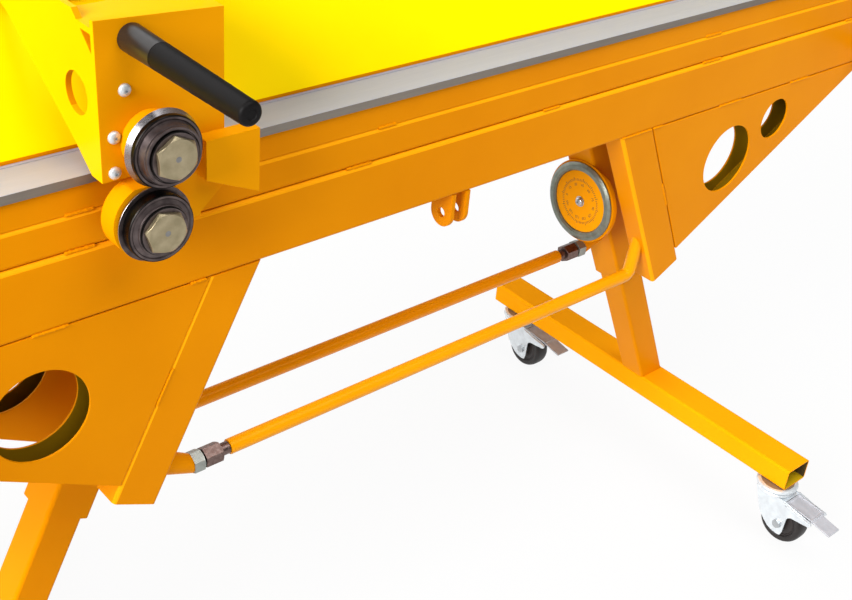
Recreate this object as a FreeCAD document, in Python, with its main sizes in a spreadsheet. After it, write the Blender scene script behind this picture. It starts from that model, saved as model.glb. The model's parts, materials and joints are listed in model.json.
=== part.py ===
import FreeCAD, Part
import math
import os

import Sketcher
from FreeCAD import Placement, Rotation, Vector

# Manual sheet metal brake, in millimetres.
# X runs along the beams, Y to the back, Z up. The floor is Z = 0 and X = 0 is mid machine.
# Depths are measured from the front face of the bending beam, which lies at front_face.

SIZES = [
    # the beams
    ("sheet_plane", 900, "floor to the plane that the sheet lies in"),
    ("beam_half", 1075, "half the working length"),
    ("front_face", -76, "front face of the bending beam"),
    ("blade_deep", 50, "bending blade, front to bend line"),
    ("blade_thick", 10, "both blades"),
    ("upper_bar_high", 30, "bar under the bending blade"),
    ("middle_tube_high", 40, "tube under the bar"),
    ("lower_tube_high", 80, "main tube of the bending beam"),
    ("beam_tube_deep", 40, "depth of the bending beam's tubes"),
    ("beam_wall", 3, "wall of the bending beam's tubes"),
    ("tube_corner", 5, "rounded corner of the tubes"),
    ("middle_setback", 2.5, "middle tube behind the front face"),
    ("upper_setback", 4, "upper bar behind the front face"),
    # struts and gussets
    ("strut_top", 300, "inner edge of a strut at the main tube"),
    ("strut_wide", 60, "strut across its axis"),
    ("strut_drop", 283, "inner bottom corner of a strut below the main tube"),
    ("strut_splay", 27, "strut from the vertical, degrees"),
    ("gusset_deep", 30, "depth of a hollow gusset"),
    ("gusset_wall", 3, "sheet of a gusset"),
    ("gusset_tip", 912, "outer end of a gusset"),
    ("gusset_drop", 234, "gusset's diagonal meets the strut, below the main tube"),
    ("big_hole_place", 570, "big hole from mid machine"),
    ("big_hole_drop", 99, "big hole below the main tube"),
    ("big_hole_wide", 110, "big hole"),
    ("small_hole_place", 678, "small hole from mid machine"),
    ("small_hole_drop", 56, "small hole below the main tube"),
    ("small_hole_wide", 66, "small hole"),
    # centre lug
    ("lug_outside", 15, "outer face of an ear from mid machine"),
    ("lug_plate", 6, "thickness of an ear"),
    ("lug_wide", 38, "width of an ear"),
    ("lug_drop", 32, "hole below the main tube"),
    ("lug_hole", 13, "hole through the ears"),
    # bending handles
    ("handle_place", 960, "middle of a bending handle from mid machine"),
    ("handle_wide", 150, "handle between its legs"),
    ("handle_reach", 180, "handle in front of the beam"),
    ("handle_bar", 22, "handle's round bar"),
    ("handle_bend", 35, "handle's bend radius"),
    ("handle_drop", 130, "handle below the sheet plane"),
    ("handle_grip_wide", 32, "sleeve on the handle"),
    ("handle_grip_long", 76, "sleeve's length"),
    # fixed frame
    ("bed_gap", 1, "gap between the two blades"),
    ("bed_deep", 95, "bed blade, front to back"),
    ("frame_front", 95, "front of the legs and fixed gussets behind the front face"),
    ("bed_wall", 5, "wall of the bed beam"),
    ("bed_nose", 22, "height of the bed's upright nose"),
    ("leg_wide", 50, "square tube of a leg"),
    ("leg_wall", 3, "wall of a leg"),
    ("leg_splay", 26, "leg from the vertical, degrees"),
    ("leg_top", 321, "inner face of a leg at the bed"),
    ("socket_wide", 60, "square tube round the upper leg"),
    ("socket_fit", 0.3, "gap round the leg in its socket"),
    ("socket_drop", 350, "socket's end below the bed"),
    ("foot_wide", 60, "foot tube across"),
    ("foot_high", 40, "foot tube upright"),
    ("foot_wall", 2.5, "wall of a foot"),
    ("foot_front", -231, "front end of a foot behind the front face"),
    ("foot_back", 482, "back end of a foot behind the front face"),
    ("foot_lift", 105, "floor to the underside of a foot"),
    # tie rods
    ("rod_wide", 20, "tie rod"),
    ("rod_drop", 263.5, "tie rod below the main tube"),
    ("rod_elbow", 32, "elbow of a tie rod before the wall that it is welded to"),
    ("rod_bend", 14, "bend radius of the elbow"),
    ("rod_rise", 83, "bent end of a tie rod from the horizontal, degrees"),
    ("front_rod_end", 332, "threaded end of the front rod"),
    ("rear_rod_end", 346, "threaded end of the rear rod"),
    ("front_rod_depth", 20, "front rod behind the front face"),
    ("rear_rod_depth", 120, "rear rod behind the front face"),
    ("collar_long", 13, "threaded collar"),
    ("collar_wide", 16, "threaded collar"),
    ("coupling_long", 24, "hex coupling"),
    ("coupling_across", 27, "hex coupling over its corners"),
    ("stud_long", 2, "stud showing beside the nut"),
    ("stud_wide", 14, "stud"),
    ("nut_long", 15, "hex nut"),
    ("nut_across", 29, "hex nut over its corners"),
    ("stub_root", 32, "stub where it is welded on"),
    ("stub_tip", 22, "stub at the nut"),
    # bend line, clamp arms and levers
    ("end_plate", 8, "end plate of the bending beam"),
    ("ear_wide", 38, "hinge ear"),
    ("hinge_pin", 16, "hinge pin"),
    ("pin_fit", 0.05, "radial gap round a pin"),
    ("side_gap", 1, "gap between plates side by side"),
    ("cheek_thick", 12, "end cheek"),
    ("lever_thick", 10, "lever plate"),
    ("arm_thick", 10, "clamp arm"),
    ("pivot_back", 200, "clamp arm's pivot behind the bend line"),
    ("pivot_drop", 195, "clamp arm's pivot below the sheet plane"),
    ("pivot_pin", 24, "clamp arm's pin"),
    ("pivot_boss", 56, "round end of a clamp arm"),
    ("rail_back", 135, "cutter rail behind the bend line"),
    ("rail_rise", 130, "cutter rail above the sheet plane"),
    ("rail_wide", 42, "cutter rail"),
    ("rail_wall", 4, "wall of the cutter rail"),
    ("clamp_open", 8.5, "swing of the clamp beam, degrees"),
    ("slot_place", 200, "lever's slot from the arm's pivot"),
    ("slot_room", 1, "play of the crank pin in its slot, each side"),
    ("lever_travel", 90, "travel of a lever, degrees"),
    ("lever_rest", 215, "lever from the horizontal when clamped, degrees"),
    ("lever_long", 430, "lever from its axle to its end"),
    ("lever_bar", 30, "width of the lever's bar"),
    ("lever_rod", 16, "round end of the lever"),
    ("lever_grip_wide", 30, "grip of a lever"),
    ("lever_grip_long", 125, "grip of a lever"),
    ("crank_wide", 60, "crank disc"),
    ("crank_pin", 16, "crank pin"),
    ("axle_wide", 24, "lever's axle"),
    # clamp beam
    ("nose_back", 5, "clamp's nose behind the bend line"),
    ("nose_bar_thick", 4, "clamp's nose bar"),
    ("nose_bar_deep", 95, "clamp's nose bar, front to back"),
    ("clamp_wall", 5, "sheet of the clamp box"),
    ("clamp_deep", 195, "clamp box, front to back"),
    ("clamp_high", 82, "clamp box"),
    # roller cutter
    ("cutter_left", -501, "left side of the cutter's web"),
    ("cutter_right", -368, "right side of the front plate"),
    ("cutter_face", -30, "cutter's front plate behind the front face"),
    ("cutter_plate", 6, "cutter's sheet"),
    ("throat_rise", 3, "lower edge of the front plate above the sheet plane"),
    ("throat_drop", 3, "flat top of the lower boss under the sheet plane"),
    ("cutter_rise", 160, "top of the cutter above the sheet plane"),
    ("knife_place", -456, "point where the knives meet, along the beam"),
    ("knife_lean", 7.4, "line through the knives' axes from the upright, degrees"),
    ("knife_stand", 24, "shear plane in front of the front plate"),
    ("knife_wide", 79, "knife"),
    ("knife_thick", 6, "knife"),
    ("knife_lap", 1, "overlap of the two knives"),
    ("knife_gap", 0.1, "gap between the knives' faces"),
    ("nip_drop", 1, "point where the knives meet under the sheet plane"),
    ("boss_wide", 80, "boss of the lower knife"),
    ("boss_proud", 16, "boss in front of the front plate"),
    ("boss_thick", 24, "boss of the lower knife"),
    ("hub_wide", 73, "black disc of a hub"),
    ("hub_disc", 6, "front of both black discs in front of the upper knife"),
    ("hub_rim", 4, "flat rim of a black disc"),
    ("upper_nose_wide", 57, "front end of the upper hub"),
    ("upper_nose_long", 10, "upper hub in front of its disc"),
    ("lower_nose_wide", 52, "front end of the lower hub"),
    ("lower_nose_long", 4, "lower hub in front of its disc"),
    ("spacer_wide", 60, "spacer behind a knife"),
    ("arbor_wide", 26, "knife's arbor"),
    ("arbor_out", 10, "upper arbor behind the front plate"),
    ("knife_bolt", 46, "hex bolt over its corners"),
    ("knife_bolt_high", 7, "hex bolt's head in front of its hub"),
    ("knife_washer", 3, "washer of the hex bolt"),
    ("liner_thick", 2.2, "liner on the rail"),
    ("sleeve_thick", 4.2, "sleeve on the liner"),
    ("hook_thick", 7, "hook of the cutter frame"),
    ("ring_gap", 0.3, "gap between rail, liner, sleeve and hook"),
    ("hook_start", 60, "back end of the hook, degrees above the horizontal"),
    ("hook_sweep", 145, "the hook's wrap round the rail, degrees"),
    ("web_hole", 42, "round hole in the web"),
    ("web_hole_back", 34, "the web's hole behind the front plate"),
    ("web_hole_drop", 81, "the web's hole below the cutter's top"),
    ("grip_wide", 28, "root of the cutter's hand grip"),
    ("grip_tip", 22.5, "end of the cutter's hand grip"),
    ("grip_long", 190, "cutter's hand grip"),
    ("grip_drop", 21, "grip below the cutter's top"),
    ("grip_place", -465, "grip along the beam"),
    ("screw_wide", 13, "dome screws"),
    ("guide_deep", 18, "guide block in front of the front plate"),
    ("guide_long", 62, "guide block along the beam"),
    ("guide_rise", 29, "top of the guide block above the sheet plane"),
    ("link_place", -400, "left side of the link to the lower boss"),
    ("link_rise", 25, "top of that link above the sheet plane"),
    # angle dial
    ("dial_stand", 33.2, "plate behind the dial in front of the socket's wall"),
    ("dial_depth", 103, "dial behind the front face"),
    ("dial_clear", 23.5, "plate behind the dial above the tie rod's coupling"),
    ("dial_recess", 4, "dial's face behind its rim"),
    ("dial_gap", 0.3, "dial in front of its plate"),
    ("dial_screw", 16, "screw in the dial's centre"),
    ("dial_wide", 125, "dial's rim"),
    ("dial_face_wide", 98, "dial's face"),
    ("dial_thick", 6, "dial"),
    ("dial_plate_wide", 131, "plate behind the dial"),
    ("dial_plate_thick", 8, "plate behind the dial"),
    ("dial_post", 26, "post that holds the dial"),
    # casters
    ("caster_front", -207, "front swivel axes behind the front face"),
    ("caster_back", 422, "rear swivel axes behind the front face"),
    ("caster_inset", 18, "swivel axis from the inner face of its foot"),
    ("caster_cap_wide", 71, "fixed cap"),
    ("caster_cap_high", 9, "fixed cap"),
    ("fork_crown_wide", 64, "crown of the fork"),
    ("fork_crown_high", 8, "crown of the fork"),
    ("fork_sheet", 3, "sheet of the fork"),
    ("race_gap", 0.3, "gap in the swivel"),
    ("wheel_wide", 80, "wheel"),
    ("wheel_thick", 32, "wheel"),
    ("wheel_trail", 32, "wheel in front of its swivel axis"),
    ("wheel_side_gap", 2, "wheel beside the fork"),
    ("wheel_axle", 10, "wheel's bolt"),
    ("stem_wide", 12, "caster's stem"),
    ("stem_out", 12, "caster's stem above the foot's wall"),
    ("stem_nut", 21, "nut of the stem over its corners"),
    ("stem_nut_high", 8, "nut of the stem"),
    ("axle_head", 19, "head and nut of the wheel's bolt over their corners"),
    ("axle_head_high", 7.7, "head and nut of the wheel's bolt"),
    ("tyre_shoulder", 11, "rounded edge of the tyre, from its tread"),
    ("pedal_pin", 6, "pin of the brake pedal"),
    ("pedal_drop", 4, "pin of the brake pedal below the crown"),
    ("pedal_back", 6, "pin of the brake pedal in front of the wheel's axle"),
    ("pedal_gap", 1, "brake pedal beside the fork's sheet"),
    ("pedal_plate", 51, "brake pedal's plate in front of its pin"),
    ("pedal_reach", 85, "brake pedal's tip in front of its pin"),
    ("pedal_sheet", 3, "sheet of the brake pedal"),
    ("tongue_narrow", 3, "tongue of the pedal inside its plate, each side"),
]

doc = FreeCAD.newDocument("SheetMetalBrake")
sheet = doc.addObject("Spreadsheet::Sheet", "Sizes")
for row, (name, number, meaning) in enumerate(SIZES, start=1):
    sheet.set("A%d" % row, name)
    sheet.set("B%d" % row, str(number))
    sheet.set("C%d" % row, meaning)
    sheet.setAlias("B%d" % row, name)
doc.recompute()


class Length:
    """A length that knows its number and the sheet formula that gives it."""

    def __init__(self, number, formula=None):
        self.number = float(number)
        self.formula = formula or repr(float(number))

    def __add__(self, other):
        other = as_length(other)
        return Length(self.number + other.number, "(%s + %s)" % (self.formula, other.formula))

    def __sub__(self, other):
        other = as_length(other)
        return Length(self.number - other.number, "(%s - %s)" % (self.formula, other.formula))

    def __mul__(self, other):
        other = as_length(other)
        return Length(self.number * other.number, "(%s * %s)" % (self.formula, other.formula))

    def __truediv__(self, other):
        other = as_length(other)
        return Length(self.number / other.number, "(%s / %s)" % (self.formula, other.formula))

    def __radd__(self, other):
        return as_length(other) + self

    def __rsub__(self, other):
        return as_length(other) - self

    def __rmul__(self, other):
        return as_length(other) * self

    def __neg__(self):
        return Length(-self.number, "(0 - %s)" % self.formula)

    def __float__(self):
        return self.number


def as_length(value):
    return value if isinstance(value, Length) else Length(value)


class Sizes:
    """The sheet's cells by name, as lengths."""

    def __getattr__(self, name):
        return Length(float(sheet.get(name)), "Sizes." + name)


at = Sizes()


def sine(degrees):
    return Length(math.sin(math.radians(float(degrees))), "sin(%s)" % as_length(degrees).formula)


def cosine(degrees):
    return Length(math.cos(math.radians(float(degrees))), "cos(%s)" % as_length(degrees).formula)


def tangent(degrees):
    return Length(math.tan(math.radians(float(degrees))), "tan(%s)" % as_length(degrees).formula)


def depth(value):
    """A place behind the bending beam's front face."""
    return at.front_face + value


def bind(thing, place, length):
    thing.setExpression(place, as_length(length).formula)


# Tools for bodies: sketches on the body's own planes, pads that grow along +X, +Y or +Z

PIECES = []


def piece(label, thing):
    thing.Label = label
    PIECES.append(thing)
    return thing


def new_body(name):
    return doc.addObject("PartDesign::Body", name)


def loop(*points):
    """A closed outline through the given points."""

    def draw(sketch):
        first = sketch.GeometryCount
        count = len(points)
        corners = [Vector(float(across), float(up), 0) for across, up in points]
        for index in range(count):
            sketch.addGeometry(Part.LineSegment(corners[index], corners[(index + 1) % count]), False)
        for index in range(count):
            follower = first + (index + 1) % count
            sketch.addConstraint(Sketcher.Constraint("Coincident", first + index, 2, follower, 1))
        for index, (across, up) in enumerate(points):
            hold(sketch, first + index, 1, across, up)

    return draw


def ring(across, up, wide):
    """A circle with its centre and its diameter."""

    def draw(sketch):
        circle = Part.Circle(Vector(float(across), float(up), 0), Vector(0, 0, 1), float(wide) / 2)
        index = sketch.addGeometry(circle, False)
        hold(sketch, index, 3, across, up)
        constraint = sketch.addConstraint(Sketcher.Constraint("Diameter", index, float(wide)))
        bind(sketch, "Constraints[%d]" % constraint, wide)

    return draw


def hold(sketch, index, point, across, up):
    for way, value in (("DistanceX", across), ("DistanceY", up)):
        constraint = sketch.addConstraint(Sketcher.Constraint(way, -1, 1, index, point, float(value)))
        bind(sketch, "Constraints[%d]" % constraint, value)


def draw(body, plane, shapes, lift):
    sketch = body.newObject("Sketcher::SketchObject", body.Name + "_sketch")
    for feature in body.Origin.OriginFeatures:
        if feature.Role == plane:
            sketch.AttachmentSupport = [(feature, "")]
    sketch.MapMode = "FlatFace"
    lift = as_length(lift)
    bind(sketch, "AttachmentOffset.Base.z", -lift if plane == "XZ_Plane" else lift)
    for shape in shapes:
        shape(sketch)
    return sketch


def pad(body, plane, shapes, thick, lift=0):
    feature = body.newObject("PartDesign::Pad", body.Name + "_pad")
    feature.Profile = draw(body, plane, shapes, lift)
    feature.Reversed = plane == "XZ_Plane"
    bind(feature, "Length", thick)
    return feature


def pocket(body, plane, shapes, thick, lift=0):
    feature = body.newObject("PartDesign::Pocket", body.Name + "_pocket")
    feature.Profile = draw(body, plane, shapes, lift)
    feature.Reversed = plane != "XZ_Plane"
    bind(feature, "Length", thick)
    return feature


def revolve(body, plane, shapes, axis, angle=360):
    feature = body.newObject("PartDesign::Revolution", body.Name + "_turned")
    sketch = draw(body, plane, shapes, 0)
    feature.Profile = sketch
    feature.ReferenceAxis = (sketch, [axis])
    bind(feature, "Angle", angle)
    return feature


def soften(body, radius, wanted):
    """Rounds the edges whose middle and direction the test accepts."""
    doc.recompute()
    tip = body.Tip
    names = []
    for number, edge in enumerate(tip.Shape.Edges, start=1):
        ends = [vertex.Point for vertex in edge.Vertexes]
        if len(ends) == 2 and isinstance(edge.Curve, Part.Line):
            if wanted((ends[0] + ends[1]) * 0.5, (ends[1] - ends[0]).normalize()):
                names.append("Edge%d" % number)
    feature = body.newObject("PartDesign::Fillet", body.Name + "_fillet")
    feature.Base = (tip, names)
    bind(feature, "Radius", radius)
    return feature


def along(axis):
    """Edges that run along one axis, 0 for X, 1 for Y and 2 for Z."""
    return lambda middle, way: abs(way[axis]) > 0.999


def place(thing, across=0, back=0, up=0, turn=None):
    if turn is not None:
        thing.Placement = Placement(Vector(0, 0, 0), turn)
    for letter, value in zip("xyz", (across, back, up)):
        bind(thing, "Placement.Base." + letter, value)
    return thing


def block(name, sizes, places):
    thing = doc.addObject("Part::Box", name)
    for prop, value in zip(("Length", "Width", "Height"), sizes):
        bind(thing, prop, value)
    return place(thing, *places)


def bar(name, wide, long, places, turn=None):
    """A round bar that starts at the given place, along +Z before its turn."""
    thing = doc.addObject("Part::Cylinder", name)
    bind(thing, "Radius", as_length(wide) / 2)
    bind(thing, "Height", long)
    return place(thing, *places, turn=turn)


def hex_bar(name, corners, long, places, turn=None):
    thing = doc.addObject("Part::Prism", name)
    thing.Polygon = 6
    bind(thing, "Circumradius", as_length(corners) / 2)
    bind(thing, "Height", long)
    return place(thing, *places, turn=turn)


def less(name, base, tool):
    thing = doc.addObject("Part::Cut", name)
    thing.Base = base
    thing.Tool = tool
    return thing


def half_space(name, point, way):
    """A large block whose face lies at the point and that fills the side the way points to."""
    thing = doc.addObject("Part::Box", name)
    thing.Length = HALF_SPACE
    thing.Width = HALF_SPACE
    thing.Height = HALF_SPACE
    centred = Placement(Vector(-HALF_SPACE / 2, -HALF_SPACE / 2, 0), Rotation())
    thing.Placement = Placement(point, Rotation(Vector(0, 0, 1), way)).multiply(centred)
    return thing


def joined(name, parts):
    thing = doc.addObject("Part::MultiFuse", name)
    thing.Shapes = parts
    return thing


def group(name, parts):
    """Separate solids that share one node."""
    thing = doc.addObject("Part::Compound", name)
    thing.Links = parts
    return thing


TO_X = Rotation(Vector(0, 1, 0), 90)
TO_FRONT = Rotation(Vector(1, 0, 0), 90)
SIDES = (("left", -1), ("right", 1))
HALF_SPACE = 400


# Levels and places that several pieces share

blade_under = at.sheet_plane - at.blade_thick
bar_under = blade_under - at.upper_bar_high
middle_under = bar_under - at.middle_tube_high
chord = middle_under - at.lower_tube_high
bend_line = depth(at.blade_deep)
frame_front = depth(at.frame_front)
pivot_y = bend_line + at.pivot_back
pivot_z = at.sheet_plane - at.pivot_drop
rail_y = bend_line + at.rail_back
rail_z = at.sheet_plane + at.rail_rise
plate_layer = at.beam_half + at.end_plate
cheek_layer = plate_layer + at.side_gap
lever_layer = cheek_layer + at.cheek_thick + at.side_gap
arm_layer = lever_layer + at.lever_thick + at.side_gap
arm_outside = arm_layer + at.arm_thick


# Bending beam

def beam_tube(label, under, high, setback, rounded):
    body = new_body(label)
    front = depth(setback)
    back = front + at.beam_tube_deep
    outer = loop((front, under), (back, under), (back, under + high), (front, under + high))
    pad(body, "YZ_Plane", [outer], at.beam_half * 2, -at.beam_half)
    if rounded:
        soften(body, at.tube_corner, along(0))
    wall = at.beam_wall
    inner = loop(
        (front + wall, under + wall),
        (back - wall, under + wall),
        (back - wall, under + high - wall),
        (front + wall, under + high - wall),
    )
    pocket(body, "YZ_Plane", [inner], at.beam_half * 2, -at.beam_half)
    return piece(label, body)


def splayed_tube(label, side, front, wide, deep, wall, top, splay, drop, square):
    """A tube that leans outwards, level at its top and square or level at its foot."""
    body = new_body(label)
    lean = tangent(splay)
    level = as_length(wide) / cosine(splay)
    low = chord - drop
    foot = top + drop * lean

    def outline(inset, reach):
        """The tube's outline, drawn in by the wall and let past its ends."""
        shift = inset / cosine(splay)
        start = top + shift - reach * lean
        end = foot + shift + reach * lean
        width = level - 2 * shift
        points = [(start, chord + reach), (start + width, chord + reach)]
        if square:
            step = (as_length(wide) - 2 * inset)
            lift = inset * sine(splay)
            corner = end + lift * (0 - lean)
            points.append((corner + step * cosine(splay), low - reach + lift + step * sine(splay)))
            points.append((corner, low - reach + lift))
        else:
            points.append((end + width, low - reach))
            points.append((end, low - reach))
        return loop(*[(side * across, up) for across, up in points])

    pad(body, "XZ_Plane", [outline(as_length(0), as_length(0))], deep, front)
    tube_way = Vector(float(sine(splay)) * side, 0, -float(cosine(splay)))
    soften(body, at.tube_corner, lambda middle, way: abs(way.dot(tube_way)) > 0.999)
    pocket(body, "XZ_Plane", [outline(as_length(wall), as_length(5))], deep - 2 * wall, front + wall)
    return piece(label, body)


def gusset(label, side, front, edge, splay):
    """A hollow gusset: front sheet, back sheet and the sheet along the diagonal."""
    body = new_body(label)
    low = chord - at.gusset_drop
    root = edge + at.gusset_drop * tangent(splay)
    slope = at.gusset_drop / (at.gusset_tip - root)
    tip = at.gusset_tip
    wall = at.gusset_wall
    inset = 1.15 * wall
    big = ring(side * at.big_hole_place, chord - at.big_hole_drop, at.big_hole_wide)
    small = ring(side * at.small_hole_place, chord - at.small_hole_drop, at.small_hole_wide)

    def outline(*points):
        return loop(*[(side * across, up) for across, up in points])

    run = inset / slope
    lift = inset / (1 + slope * tangent(splay))
    strip = outline((root, low), (tip, chord), (tip - run, chord), (root - lift * tangent(splay), low + lift))
    sheet_outline = outline((edge, chord), (tip, chord), (root, low))
    pad(body, "XZ_Plane", [strip], at.gusset_deep, front)
    pad(body, "XZ_Plane", [sheet_outline, big, small], wall, front)
    pad(body, "XZ_Plane", [sheet_outline, big, small], wall, front + at.gusset_deep - wall)
    return body


beam_tube("lower_tube", chord, at.lower_tube_high, 0, True)
beam_tube("middle_tube", middle_under, at.middle_tube_high, at.middle_setback, True)
beam_tube("upper_bar", bar_under, at.upper_bar_high, at.upper_setback, False)

piece("bending_blade", block(
    "bending_blade",
    (at.beam_half * 2, at.blade_deep, at.blade_thick),
    (-at.beam_half, depth(0), blade_under),
))

strut_edge = at.strut_top + at.strut_wide / cosine(at.strut_splay)
for name, side in SIDES:
    splayed_tube(name + "_strut", side, depth(0), at.strut_wide, at.beam_tube_deep, at.beam_wall,
                 at.strut_top, at.strut_splay, at.strut_drop, True)
    piece(name + "_gusset", gusset(name + "_gusset", side, depth(0), strut_edge, at.strut_splay))


def lug_ear(name, start):
    body = new_body(name)
    middle = depth(at.beam_tube_deep / 2)
    hole_z = chord - at.lug_drop
    half = at.lug_wide / 2
    upright = loop((middle - half, hole_z), (middle + half, hole_z), (middle + half, chord), (middle - half, chord))
    pad(body, "YZ_Plane", [upright], at.lug_plate, start)
    pad(body, "YZ_Plane", [ring(middle, hole_z, at.lug_wide)], at.lug_plate, start)
    pocket(body, "YZ_Plane", [ring(middle, hole_z, at.lug_hole)], at.lug_plate, start)
    return body


ears = [lug_ear("lug_ear_left", -at.lug_outside), lug_ear("lug_ear_right", at.lug_outside - at.lug_plate)]
piece("centre_lug", group("centre_lug", ears))


def bend_end_plate(name, start):
    """The plate on a beam end, with the ear that turns on the hinge pin."""
    body = new_body(name)
    front = depth(0)
    back = depth(at.beam_tube_deep)
    outline = loop((front, chord), (back, chord), (back, at.sheet_plane), (front, at.sheet_plane))
    pad(body, "YZ_Plane", [outline], at.end_plate, start)
    pad(body, "YZ_Plane", [ring(bend_line, at.sheet_plane, at.ear_wide)], at.end_plate, start)
    hole = ring(bend_line, at.sheet_plane, at.hinge_pin + 2 * at.pin_fit)
    pocket(body, "YZ_Plane", [hole], at.end_plate, start)
    return body


piece("bend_end_plates", group("bend_end_plates", [
    bend_end_plate("bend_end_left", -plate_layer),
    bend_end_plate("bend_end_right", at.beam_half),
]))


# Tie rods: a tube with one bent end and an adjusting end with collar, coupling and nut

def tie_rod(label, side, back, free_end, top, splay):
    """The bent end goes to the given side, rises to the tube and is cut to its wall."""
    level = float(chord - at.rod_drop)
    lean = math.radians(float(splay))
    rise = math.radians(float(at.rod_rise))
    wall_at = float(top) + float(at.rod_drop) * math.tan(lean)
    elbow = wall_at - float(at.rod_elbow)
    reach = float(at.rod_elbow) / (math.cos(rise) + math.sin(rise) * math.tan(lean))
    tangent_run = float(at.rod_bend) * math.tan(rise / 2)
    start = Vector(-side * float(free_end), 0, level)
    before = Vector(side * (elbow - tangent_run), 0, level)
    corner = Vector(side * elbow, 0, level)
    way = Vector(side * math.cos(rise), 0, math.sin(rise))
    after = corner + way * tangent_run
    end = corner + way * (reach + float(at.rod_wide))
    centre = Vector(before.x, 0, level + float(at.rod_bend))
    middle = centre + Vector(side * math.sin(rise / 2), 0, -math.cos(rise / 2)) * float(at.rod_bend)
    path = Part.Wire([
        Part.LineSegment(start, before).toShape(),
        Part.Arc(before, middle, after).toShape(),
        Part.LineSegment(after, end).toShape(),
    ])
    profile = Part.Wire(Part.makeCircle(float(at.rod_wide) / 2, start, Vector(side, 0, 0)))
    tube = doc.addObject("Part::Feature", label + "_tube")
    tube.Shape = path.makePipeShell([profile], True, False)
    place(tube, 0, depth(back), 0)
    square = Vector(side * math.cos(lean), 0, math.sin(lean))
    touching = Vector(side * wall_at, float(depth(back)), level) - square * 0.05
    return piece(label, less(label, tube, half_space(label + "_wall", touching, square)))


def tie_fittings(label, side, back, free_end, top, splay):
    """Collar, coupling, stud, nut and welded stub between a rod's free end and its tube."""
    level = chord - at.rod_drop
    turn = Rotation(Vector(0, 1, 0), 90 * side)
    along_rod = depth(back)
    collar_at = free_end
    coupling_at = collar_at + at.collar_long
    stud_at = coupling_at + at.coupling_long
    nut_at = stud_at + at.stud_long
    stub_at = nut_at + at.nut_long
    lean = math.radians(float(splay))
    face = float(top) + float(at.rod_drop) * math.tan(lean)
    run = (face - float(stub_at)) / (math.cos(lean) + math.sin(lean) * math.tan(lean))
    nut_face = Vector(side * float(stub_at), float(along_rod), float(level))
    way = Vector(side * math.cos(lean), 0, math.sin(lean))
    stub = doc.addObject("Part::Cone", label + "_stub")
    bind(stub, "Radius1", at.stub_tip / 2)
    bind(stub, "Radius2", at.stub_root / 2)
    stub.Height = run + float(at.stub_root)
    stub.Placement = Placement(nut_face - way * float(at.stub_tip / 2), Rotation(Vector(0, 0, 1), way))
    welded_to = half_space(label + "_wall", nut_face + way * (run - 0.05), way)
    towards_nut = half_space(label + "_nut_side", nut_face, Vector(-side, 0, 0))
    trimmed = less(label + "_trim", less(label + "_square", stub, welded_to), towards_nut)
    return [
        bar(label + "_collar", at.collar_wide, at.collar_long, (side * collar_at, along_rod, level), turn),
        hex_bar(label + "_coupling", at.coupling_across, at.coupling_long, (side * coupling_at, along_rod, level), turn),
        bar(label + "_stud", at.stud_wide, at.stud_long, (side * stud_at, along_rod, level), turn),
        hex_bar(label + "_nut", at.nut_across, at.nut_long, (side * nut_at, along_rod, level), turn),
        trimmed,
    ]


socket_top = at.leg_top - (at.socket_wide - at.leg_wide) / 2 / cosine(at.leg_splay)
tie_rod("front_tie_rod", 1, at.front_rod_depth, at.front_rod_end, at.strut_top, at.strut_splay)
tie_rod("rear_tie_rod", -1, at.rear_rod_depth, at.rear_rod_end, socket_top, at.leg_splay)
piece("front_tie_fittings", group("front_tie_fittings", tie_fittings(
    "front_tie", -1, at.front_rod_depth, at.front_rod_end, at.strut_top, at.strut_splay)))
piece("rear_tie_fittings", group("rear_tie_fittings", tie_fittings(
    "rear_tie", 1, at.rear_rod_depth, at.rear_rod_end, socket_top, at.leg_splay)))


# Bending handles: a bow of round bar near each end, with a sleeve to hold

def bow_handle(name, side):
    level = float(at.sheet_plane - at.handle_drop)
    half = float(at.handle_wide) / 2
    bend = float(at.handle_bend)
    reach = float(at.handle_reach)
    front = float(depth(0))
    place_x = side * float(at.handle_place)
    turn = bend * (1 - math.sqrt(0.5))
    points = [
        Vector(place_x - half, front, level),
        Vector(place_x - half, front - reach + bend, level),
        Vector(place_x - half + turn, front - reach + turn, level),
        Vector(place_x - half + bend, front - reach, level),
        Vector(place_x + half - bend, front - reach, level),
        Vector(place_x + half - turn, front - reach + turn, level),
        Vector(place_x + half, front - reach + bend, level),
        Vector(place_x + half, front, level),
    ]
    path = Part.Wire([
        Part.LineSegment(points[0], points[1]).toShape(),
        Part.Arc(points[1], points[2], points[3]).toShape(),
        Part.LineSegment(points[3], points[4]).toShape(),
        Part.Arc(points[4], points[5], points[6]).toShape(),
        Part.LineSegment(points[6], points[7]).toShape(),
    ])
    profile = Part.Wire(Part.makeCircle(float(at.handle_bar) / 2, points[0], Vector(0, 1, 0)))
    thing = doc.addObject("Part::Feature", name)
    thing.Shape = path.makePipeShell([profile], True, False)
    return thing


def handle_sleeve(name, side):
    start = side * at.handle_place - at.handle_grip_long / 2
    places = (start, depth(-at.handle_reach), at.sheet_plane - at.handle_drop)
    sleeve = bar(name + "_sleeve", at.handle_grip_wide, at.handle_grip_long, places, TO_X)
    bore = bar(name + "_bore", at.handle_bar + 2 * at.pin_fit, at.handle_grip_long, places, TO_X)
    return less(name, sleeve, bore)


piece("bending_handles", group("bending_handles", [
    bow_handle("bow_left", -1),
    bow_handle("bow_right", 1),
]))
piece("handle_grips", group("handle_grips", [
    handle_sleeve("grip_left", -1),
    handle_sleeve("grip_right", 1),
]))


# Fixed frame

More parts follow.
